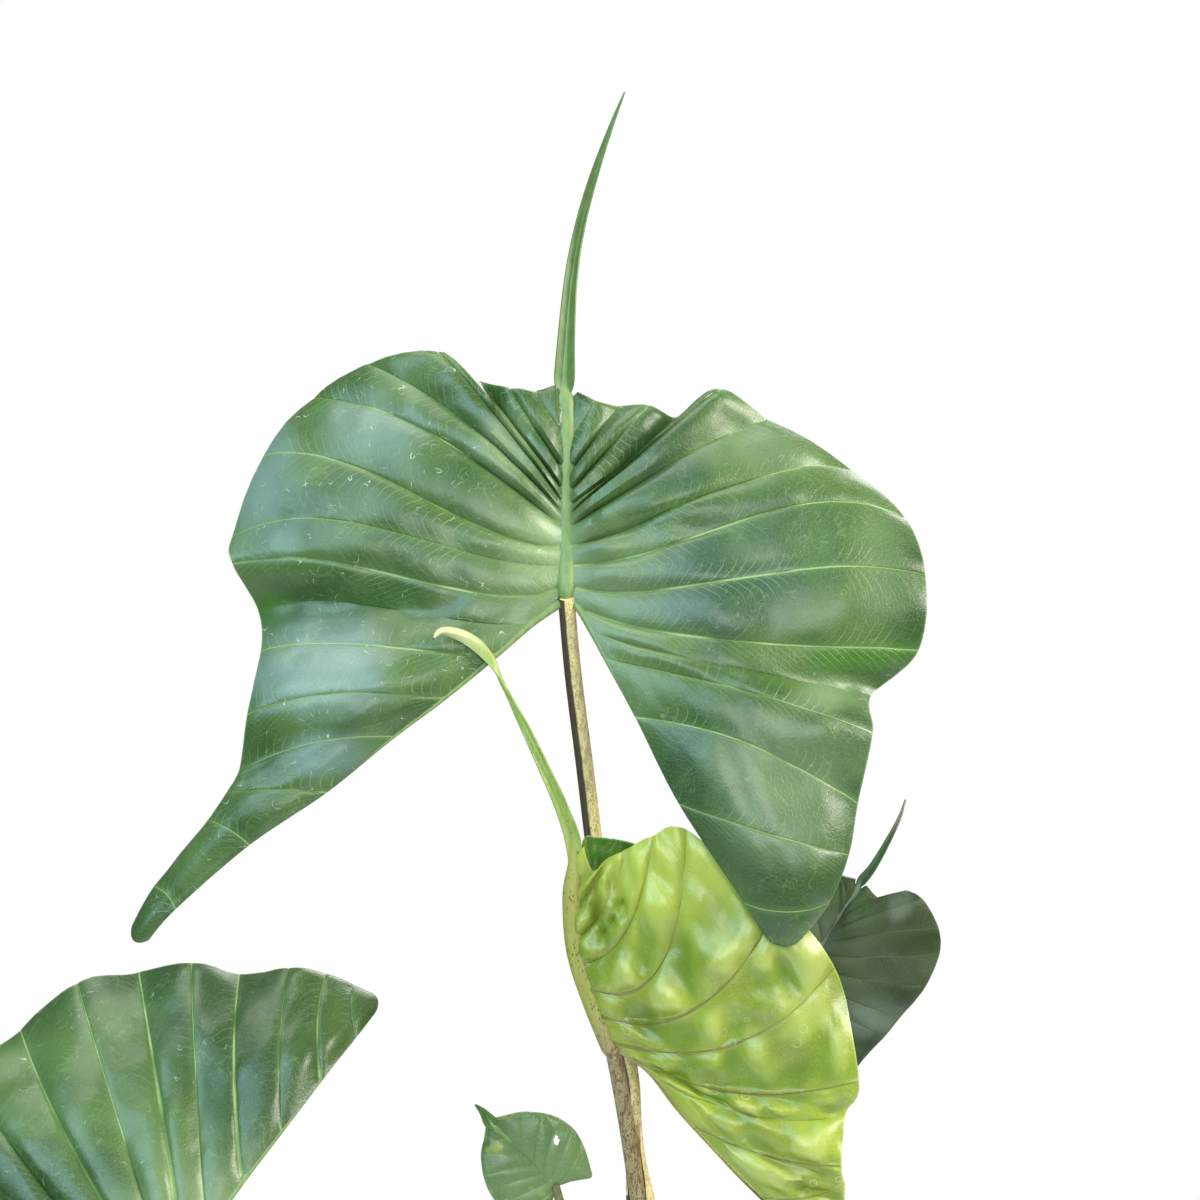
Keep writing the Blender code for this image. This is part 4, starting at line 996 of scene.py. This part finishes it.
class TARO_OT_main_leaf(bpy.types.Operator):
    """Model the large leaf that faces the front"""

    bl_idname = "taro.main_leaf"
    bl_label = "Main Leaf"

    def execute(self, context):
        lean = math.radians(22)
        leaf = Leaf(HUB_MAIN, (0, math.sin(lean), math.cos(lean)), (0, -math.cos(lean), math.sin(lean)))
        finishes = green_finishes("main", HUB_MAIN, painted_light=MAIN_PAINTED_LIGHT)
        leaf_piece(
            "leaf_main", leaf, (MAIN_RIGHT, MAIN_LEFT), (7, 8), MAIN_MIDRIB, finishes, (3.6, 1.8, 0.5, 0.8),
            settings().blade_thickness, "leaf", "blade_main", bows=(RIGHT_BOWS, LEFT_BOWS),
            swells=(RIGHT_SWELLS, LEFT_SWELLS),
        )
        return {"FINISHED"}


class TARO_OT_new_leaf(bpy.types.Operator):
    """Model the newest leaf, which is half open"""

    bl_idname = "taro.new_leaf"
    bl_label = "New Leaf"

    def execute(self, context):
        s = settings()
        turns = (math.radians(-8), math.radians(36))
        leaf = Leaf(HUB_NEW, (0, 0.07, 1), (0, -1, 0), turns, [row[:2] for row in NEW_MIDRIB[:5]])
        lime = tuple(s.new_colour)
        olive = (0.17, 0.135, 0.025)
        under = leaf_finish(
            "new_underside", times(lime, 0.55), lime, olive, s.vein_relief, 0.29, 0.5, 0.2, 4.0,
            combs=0.35, glints=0.0, extra=spotted,
        )
        top = leaf_finish(
            "new_face", (0.045, 0.15, 0.012), (0.10, 0.26, 0.02), (0.28, 0.42, 0.06), s.vein_relief, 0.28, 0.1, 0.1,
            glints=0.0,
        )
        rib = rib_finish(
            "new_rib", (0.30, 0.33, 0.05), (0.44, 0.40, 0.10), (0.13, 0.06, 0.02), 0.85,
            foot=times(s.stalk_colour, 0.85),
        )
        tail = rib_finish(
            "new_tail", (0.26, 0.38, 0.06), (0.50, 0.60, 0.22), (0.20, 0.13, 0.03), 0.35, (0.66, 0.68, 0.36)
        )
        # The far half is seen from its face and the near half from its underside.
        leaf_piece(
            "leaf_new", leaf, (NEW_NEAR, NEW_FAR), (6, 6), NEW_MIDRIB, (under, top, rib, tail),
            (3.2, 5.4, 1.6, 4.4), s.blade_thickness, "new_leaf", "blade_new", rows=16, columns=52, raised=1,
            swells=(NEW_SLITS, ()),
        )
        return {"FINISHED"}


class TARO_OT_other_leaves(bpy.types.Operator):
    """Model the lower, back and smallest leaves"""

    bl_idname = "taro.other_leaves"
    bl_label = "Other Leaves"

    def execute(self, context):
        thick = settings().blade_thickness
        lower = Leaf(HUB_LOWER, (-1, -0.05, -0.06), (0, -0.77, 0.64))
        leaf_piece(
            "leaf_lower", lower, (BROAD, BROAD), (6, 6), BROAD_MIDRIB,
            green_finishes("lower", HUB_LOWER, combs=0.14, glints=0.4), (3.0, 1.6, 0.5, 0.8), thick, "leaf",
            "blade_lower",
        )
        back = Leaf(HUB_BACK, (0.52, 0.10, 0.84), (0, -0.98, 0.20))
        finishes = green_finishes("back", HUB_BACK, 0.30, 3.4, 0.1, 0.1, painted_light=BACK_PAINTED_LIGHT)
        rib = rib_finish("back_rib", (0.085, 0.14, 0.075), (0.17, 0.23, 0.14), SPECK)
        tail = rib_finish("back_tail", (0.05, 0.12, 0.055), (0.09, 0.17, 0.08), SPECK, tip=(0.34, 0.29, 0.22))
        calm = tuple((*ray[:3], 0.4 * ray[3], 0.5 * ray[4]) for ray in BACK)
        leaf_piece(
            "leaf_back", back, (calm, calm), (4, 4), BACK_MIDRIB,
            (*finishes[:2], rib, tail), (1.6, 1.8, 0.4, 0.0), thick, "back_leaf", "blade_back", rows=8, columns=24,
        )
        small = Leaf(HUB_SMALL, (-0.69, -0.05, 0.71), (0, -0.95, 0.30))
        faint = tuple((*ray[:4], 0.5 * ray[4]) for ray in SMALL)
        leaf_piece(
            "leaf_small", small, (faint, faint), (3, 3), SMALL_MIDRIB,
            green_finishes("small", HUB_SMALL, 1.2, 2.4, 0.15, 0.2, pest_marked), (0.5, 0.4, 0.2, 0.0), thick,
            "leaf", "blade_small", rows=16, columns=40, hole=(0.6, 20.6, 1.1, 2.1),
        )
        return {"FINISHED"}


def stalk_radii(count, foot, top):
    x = np.linspace(0, 1, count)
    return top + (foot - top) * (0.55 * (1 - x) + 0.45 * np.exp(-x / 0.12))


def new_stalk_radius(z):
    return float(np.interp(z, (0.20, 0.30, 0.44, 0.47), (0.0044, 0.0040, 0.0034, 0.0033)))


def sheath_section(z, distance, sides):
    """The main stalk's outline at height z: round above, and below a C round the newest leaf's stalk."""
    radius = float(np.interp(z, (0.20, 0.45, 0.66), (0.0045, 0.0041, 0.0035)))
    grown = (SHEATH_TOP - z) / SHEATH_FADE
    share = float(smooth(2 * grown, 0, 1))
    wrap = math.radians(60 + 90 * float(smooth(2 * grown - 1, 0, 1)))
    groove = new_stalk_radius(z) + 0.0006
    back = np.linspace(-0.5, 0.5, sides // 2)
    wall = 0.0010 + 0.0036 * np.maximum(np.cos(math.pi * back), 0) ** 1.5
    outer, inner = 2 * wrap * back, 2 * wrap * back[::-1]
    crescent = np.concatenate([
        np.stack([(groove + wall) * np.sin(outer), distance - (groove + wall) * np.cos(outer)], 1),
        np.stack([groove * np.sin(inner), distance - groove * np.cos(inner)], 1),
    ])
    behind, before = math.pi * back * (1 - 2 / sides), math.pi * back[::-1] * (1 - 2 / sides)
    plain = radius * np.concatenate([
        np.stack([np.sin(behind), -np.cos(behind)], 1), np.stack([np.sin(before), np.cos(before)], 1)
    ])
    ring = (1 - share) * plain + share * crescent
    return np.concatenate([ring, ring[:1]])


class TARO_OT_stalks(bpy.types.Operator):
    """Model the five leaf stalks"""

    bl_idname = "taro.stalks"
    bl_label = "Stalks"

    def execute(self, context):
        s = settings()
        pale, dark = tuple(s.stalk_colour), tuple(s.blotch_colour)
        brown = stalk_finish("main_stalk", times(pale, 2.4), times(pale, 2.0), dark, painted_shade=0.94, amount=0.45)
        tan = stalk_finish("new_stalk", times(pale, 1.05), times(pale, 0.75), (0.13, 0.05, 0.02), amount=1.0)
        plain = stalk_finish("outer_stalk", (0.22, 0.27, 0.09), (0.20, 0.17, 0.07), dark, amount=0.6)

        line = curve(PATH_MAIN, 0.005)
        inner = curve(PATH_NEW, 0.002)
        sections, facing = [], []
        for point in line:
            z = point[2]
            beside = np.array([np.interp(z, inner[:, 2], inner[:, k]) for k in range(2)] + [z])
            out = beside - point if z < SHEATH_TOP else np.array(SHEATH_FACING)
            sections.append(sheath_section(z, np.linalg.norm(out), 44))
            facing.append(out)
        settle(rod("stalk_main", line, sections, facing, brown), "stalk", "petiole_main")

        line = curve(PATH_NEW, 0.005)
        sections = [round_section(new_stalk_radius(z), 28) for z in line[:, 2]]
        piece = rod("stalk_new", line, sections, [SHEATH_FACING] * len(line), tan)
        settle(piece, "new_stalk", "petiole_new")

        for name, path, foot, top in (
            ("lower", PATH_LOWER, 0.0062, 0.0034),
            ("back", PATH_BACK, 0.0048, 0.0024),
            ("small", PATH_SMALL, 0.0040, 0.0020),
        ):
            line = curve(path, 0.006)
            sections = [round_section(radius, 24) for radius in stalk_radii(len(line), foot, top)]
            piece = rod(f"stalk_{name}", line, sections, [(0.1, -1, 0.2)] * len(line), plain)
            settle(piece, "stalk", f"petiole_{name}")
        return {"FINISHED"}


class TARO_OT_stem(bpy.types.Operator):
    """Model the short stem with its rings and dry sheaths"""

    bl_idname = "taro.stem"
    bl_label = "Stem"

    def execute(self, context):
        buried = SOIL_TOP + SOIL_HEAP + SOIL_LUMP
        rings = [(STEM_RADIUS - 0.001, STEM_FOOT), (STEM_RADIUS, STEM_FOOT + 0.002), (STEM_RADIUS, SOIL_TOP)]
        for z in np.linspace(buried - 0.001, STEM_TOP - 0.003, 40):
            share = max(0, (z - buried) / (STEM_TOP - buried))
            ridge = 0.0008 * (abs(math.cos(math.pi * STEM_SCARS * share)) ** 4 - 1)
            rings.append((STEM_RADIUS + (STEM_TOP_RADIUS - STEM_RADIUS) * share**1.5 + ridge, z))
        rings += [(STEM_TOP_RADIUS - 0.0016, STEM_TOP - 0.0008), (STEM_TOP_RADIUS - 0.004, STEM_TOP)]
        rings += [(STALK_HOLLOW + 0.0003, STEM_TOP - 0.0002), (STALK_HOLLOW, STEM_TOP - 0.002)]
        rings += [(STALK_HOLLOW, STEM_TOP - 0.008)]
        piece = turned_piece("short_stem", rings, 72)
        for vertex in piece.data.vertices:
            x, y, z = vertex.co
            swell = 1 + 0.035 * noise.noise((x * 90, y * 90, z * 60)) if z > SOIL_TOP else 1
            vertex.co.x, vertex.co.y = x * swell, y * swell
        wear(piece, stem_finish())
        settle(piece, "stem", "stem")

        papery = bit_finish("dry_sheath", (0.16, 0.095, 0.045), (0.34, 0.23, 0.12), 0.8)
        flaps = []
        for k, (turn, low, high, spread) in enumerate(
            ((200, 0.176, 0.206, 70), (320, 0.174, 0.219, 60), (80, 0.180, 0.214, 75), (255, 0.188, 0.222, 50))
        ):
            angle = np.radians(np.linspace(turn - spread, turn + spread, 25))[None, :]
            rise = np.linspace(0, 1, 16)[:, None]
            ragged = 1 - 0.35 * np.abs(np.linspace(-1, 1, 25))[None, :] ** 2
            ragged = ragged + 0.10 * np.sin(9 * angle + k) * rise
            z = low + (high - low) * rise * ragged
            radius = 0.0192 - 0.0012 * rise + 0.0022 * rise**3 + 0.0004 * np.sin(13 * angle)
            points = np.stack([radius * np.cos(angle), radius * np.sin(angle), z], 2)
            flaps.append(grid_piece(f"flap_{k}", points))
        flap = joined(flaps, "dry_sheaths")
        wear(flap, papery)
        apply_modifier(flap, "SOLIDIFY", thickness=0.0004, offset=0)
        settle(flap, "stem")
        return {"FINISHED"}


class TARO_OT_pot(bpy.types.Operator):
    """Model the tapered plastic pot"""

    bl_idname = "taro.pot"
    bl_label = "Pot"

    def execute(self, context):
        under_rim = POT_HEIGHT - POT_LIP_DEPTH
        inner = POT_RIM - POT_LIP - POT_WALL
        rings = [
            (POT_BASE - 0.0030, 0),
            (POT_BASE - 0.0012, 0.0004),
            (POT_BASE - 0.0003, 0.0014),
            (POT_BASE, 0.003),
            (POT_BASE + POT_SLOPE * 0.012, 0.012),
            (POT_BASE + POT_SLOPE * 0.0125 + 0.0004, 0.0130),
            (POT_BASE + POT_SLOPE * 0.0600, 0.060),
            (POT_BASE + POT_SLOPE * 0.1200, 0.120),
            (POT_BASE + POT_SLOPE * (under_rim - 0.001), under_rim - 0.001),
            (POT_BASE + POT_SLOPE * under_rim + 0.0006, under_rim),
            (POT_RIM - 0.0009, under_rim + 0.0003),
            (POT_RIM - 0.0001, under_rim + 0.0014),
            (POT_RIM, under_rim + 0.004),
            (POT_RIM, POT_HEIGHT - 0.0022),
            (POT_RIM - 0.0006, POT_HEIGHT - 0.0006),
            (POT_RIM - 0.0020, POT_HEIGHT),
            (inner + 0.0012, POT_HEIGHT),
            (inner + 0.0003, POT_HEIGHT - 0.0004),
            (inner, POT_HEIGHT - 0.0014),
            (POT_BASE - POT_WALL + POT_SLOPE * 0.1, 0.1),
            (POT_BASE - POT_WALL, POT_FLOOR + 0.003),
            (POT_BASE - POT_WALL - 0.003, POT_FLOOR),
        ]
        piece = turned_piece("nursery_pot", rings, 144)
        holes = []
        for k in range(DRAINS):
            angle = math.pi * (2 * k + 1) / DRAINS
            deselect()
            place = (DRAIN_REACH * math.cos(angle), DRAIN_REACH * math.sin(angle), 0)
            bpy.ops.mesh.primitive_cylinder_add(vertices=32, radius=DRAIN_RADIUS, depth=0.02, location=place)
            holes.append(bpy.context.object)
        cutter = joined(holes, "drain_cutter")
        apply_modifier(piece, "BOOLEAN", operation="DIFFERENCE", object=cutter, solver="EXACT")
        bpy.data.objects.remove(cutter)
        wear(piece, pot_finish(settings().pot_colour))
        settle(piece, "pot_plastic", "pot")
        return {"FINISHED"}


def soil_height(x, y):
    """Height of the soil's lumpy top at a place."""
    out = math.hypot(x, y)
    inward = (SOIL_REACH - out) / SOIL_REACH
    wave = math.sin(170 * x + 2.0) * math.cos(150 * y) + 0.6 * math.sin(330 * y + 90 * x)
    lumps = SOIL_HEAP * inward + SOIL_LUMP * wave * min(1, 0.4 + 8 * inward)
    crumbs = 0.0011 * noise.noise((x * 260, y * 260, 1.0)) + 0.0006 * noise.noise((x * 620, y * 620, 4.0))
    return SOIL_TOP + lumps + crumbs


def scattered(name, model, count, seed, sizes, finish, sink):
    """Copies a bit over the soil's top, each turned and sized its own way."""
    draw = random.Random(seed)
    copies = []
    while len(copies) < count:
        out = STEM_RADIUS + 0.004 + (SOIL_REACH - STEM_RADIUS - 0.010) * math.sqrt(draw.random())
        angle = draw.uniform(0, 2 * math.pi)
        x, y = out * math.cos(angle), out * math.sin(angle)
        size = draw.uniform(*sizes)
        copy = model.copy()
        copy.data = model.data.copy()
        bpy.context.collection.objects.link(copy)
        turn = Matrix.Rotation(draw.uniform(0, 6.28), 4, "Z") @ Matrix.Rotation(draw.uniform(-0.5, 0.5), 4, "X")
        shape = Matrix.Diagonal((size, size * draw.uniform(0.6, 1.1), size * draw.uniform(0.7, 1.1), 1))
        copy.data.transform(Matrix.Translation((x, y, soil_height(x, y) + sink * size)) @ turn @ shape)
        copies.append(copy)
    bpy.data.objects.remove(model)
    piece = joined(copies, name)
    piece.data.materials.clear()
    wear(piece, finish)
    settle(piece, "soil")


class TARO_OT_soil(bpy.types.Operator):
    """Model the potting soil with its bark chips and grit"""

    bl_idname = "taro.soil"
    bl_label = "Soil"

    def execute(self, context):
        s = settings()
        reach = SOIL_REACH - 0.0008
        base = POT_BASE - POT_WALL - 0.001
        rings = [(base - 0.004, POT_FLOOR + 0.0006), (base, POT_FLOOR + 0.006), (reach, SOIL_TOP)]
        rings += [(radius, SOIL_TOP) for radius in np.linspace(reach, STEM_RADIUS + 0.0004, 60)[1:]]
        rings += [(STEM_RADIUS + 0.0004, STEM_FOOT)]
        piece = turned_piece("potting_soil", rings, 160)
        for vertex in piece.data.vertices:
            if vertex.co.z > SOIL_TOP - 0.001:
                vertex.co.z = soil_height(vertex.co.x, vertex.co.y)
        wear(piece, soil_finish())
        settle(piece, "soil", "soil")

        deselect()
        bpy.ops.mesh.primitive_cube_add(size=1)
        chip = bpy.context.object
        chip.data.transform(Matrix.Diagonal((1.0, 0.55, 0.28, 1)))
        apply_modifier(chip, "BEVEL", width=0.08, segments=1)
        for vertex in chip.data.vertices:
            place = 3 * vertex.co
            vertex.co += 0.09 * Vector([noise.noise(place + Vector((0, 0, 20 * k))) for k in range(3)])
        bark = bit_finish("bark", (0.05, 0.024, 0.012), (0.17, 0.095, 0.05), 0.85)
        if s.chips:
            scattered("bark_chips", chip, s.chips, 11, (0.003, 0.0085), bark, 0.12)

        deselect()
        bpy.ops.mesh.primitive_ico_sphere_add(subdivisions=2, radius=0.5)
        grain = bpy.context.object
        for vertex in grain.data.vertices:
            vertex.co *= 1 + 0.85 * noise.noise(3.4 * vertex.co)
        white = bit_finish("white_grit", (0.52, 0.50, 0.46), (0.78, 0.77, 0.73), 0.9)
        if s.grit:
            scattered("white_grit", grain, s.grit, 23, (0.0016, 0.0036), white, 0.2)
        return {"FINISHED"}


class TARO_OT_stage(bpy.types.Operator):
    """Set out the floor, the lights and the camera"""

    bl_idname = "taro.stage"
    bl_label = "Stage"

    def execute(self, context):
        scene = context.scene
        deselect()
        bpy.ops.mesh.primitive_circle_add(vertices=128, radius=1.25, fill_type="NGON", location=(0, 0, -0.0002))
        floor = context.object
        floor.name = "floor"
        bpy.ops.object.transform_apply(location=True)
        pale = Finish("pale_floor", Specular_IOR_Level=0.2)
        out = pale.node("ShaderNodeVectorMath", {"operation": "LENGTH"}, {0: pale.place}, out="Value")
        shade = pale.mix(pale.noise(3) * 0.3, (0.88, 0.88, 0.87), (0.85, 0.85, 0.84))
        pale.surface(shade, 0.85, alpha=pale.fade(out, 1.15, 0.40))
        wear(floor, pale)

        world = bpy.data.worlds.new("studio")
        scene.world = world
        world.use_nodes = True
        tree = world.node_tree
        soft = tree.nodes["Background"]
        soft.inputs["Color"].default_value = (0.90, 0.96, 1.0, 1)
        soft.inputs["Strength"].default_value = 0.22
        plain = tree.nodes.new("ShaderNodeBackground")
        plain.inputs["Color"].default_value = (1, 1, 1, 1)
        seen = tree.nodes.new("ShaderNodeLightPath")
        mix = tree.nodes.new("ShaderNodeMixShader")
        tree.links.new(seen.outputs["Is Camera Ray"], mix.inputs["Fac"])
        tree.links.new(soft.outputs[0], mix.inputs[1])
        tree.links.new(plain.outputs[0], mix.inputs[2])
        tree.links.new(mix.outputs[0], tree.nodes["World Output"].inputs["Surface"])

        # Each lamp's place, aim, size in metres, power in watts and colour.
        for name, place, aim, size, power, colour in (
            ("sky", (-1.25, -1.6, 2.0), (-0.10, 0, 0.62), 1.9, 54, (0.54, 0.80, 1.0)),
            ("sun", (2.0, -0.62, 1.55), (0.0, 0, 0.58), 1.1, 60, (1.0, 0.96, 0.84)),
            ("front", (0.30, -2.2, 1.25), (0.02, 0, 0.45), 1.1, 21, (0.97, 0.99, 1.0)),
            ("top", (-0.3, 0.1, 2.4), (-0.03, 0, 0.5), 1.2, 16, (1.0, 1.0, 0.97)),
            ("back", (0.5, 1.7, 1.5), (0, 0, 0.5), 1.2, 18, (1.0, 1.0, 0.94)),
        ):
            deselect()
            bpy.ops.object.light_add(type="AREA", location=place)
            light = context.object
            light.name = name
            light.data.size, light.data.energy, light.data.color = size, power, colour
            light.rotation_euler = (Vector(place) - Vector(aim)).to_track_quat("Z", "Y").to_euler()
            light.visible_camera = False

        deselect()
        tilt = math.radians(CAMERA_TILT)
        place = Vector(CAMERA_AIM) + CAMERA_AWAY * Vector((0, -math.cos(tilt), math.sin(tilt)))
        bpy.ops.object.camera_add(location=place, rotation=(math.radians(90) - tilt, 0, 0))
        camera = context.object
        camera.data.sensor_width = SENSOR
        camera.data.lens = SENSOR * CAMERA_AWAY / (PHOTO_PIXELS * PIXEL)
        camera.data.clip_start = 0.01
        scene.camera = camera
        scene.view_settings.view_transform = "Standard"
        return {"FINISHED"}


class TARO_PT_panel(bpy.types.Panel):
    """Lists the plant's settings and the steps that build it"""

    bl_idname = "TARO_PT_panel"
    bl_label = "Potted Giant Taro"
    bl_space_type = "VIEW_3D"
    bl_region_type = "UI"
    bl_category = "Taro"

    def draw(self, context):
        column = self.layout.column()
        for key in TaroSettings.__annotations__:
            column.prop(context.scene.taro, key)
        for operator in STEPS:
            column.operator(operator.bl_idname)


STEPS = (
    TARO_OT_pot, TARO_OT_soil, TARO_OT_stem, TARO_OT_stalks, TARO_OT_main_leaf, TARO_OT_new_leaf,
    TARO_OT_other_leaves, TARO_OT_stage,
)
CLASSES = (TaroSettings, *STEPS, TARO_PT_panel)


def register():
    for entry in CLASSES:
        bpy.utils.register_class(entry)
    bpy.types.Scene.taro = PointerProperty(type=TaroSettings)


def unregister():
    del bpy.types.Scene.taro
    for entry in reversed(CLASSES):
        bpy.utils.unregister_class(entry)


def main():
    register()
    bpy.ops.taro.pot()
    bpy.ops.taro.soil()
    bpy.ops.taro.stem()
    bpy.ops.taro.stalks()
    bpy.ops.taro.main_leaf()
    bpy.ops.taro.new_leaf()
    bpy.ops.taro.other_leaves()
    bpy.ops.taro.stage()


if __name__ == "__main__":
    main()
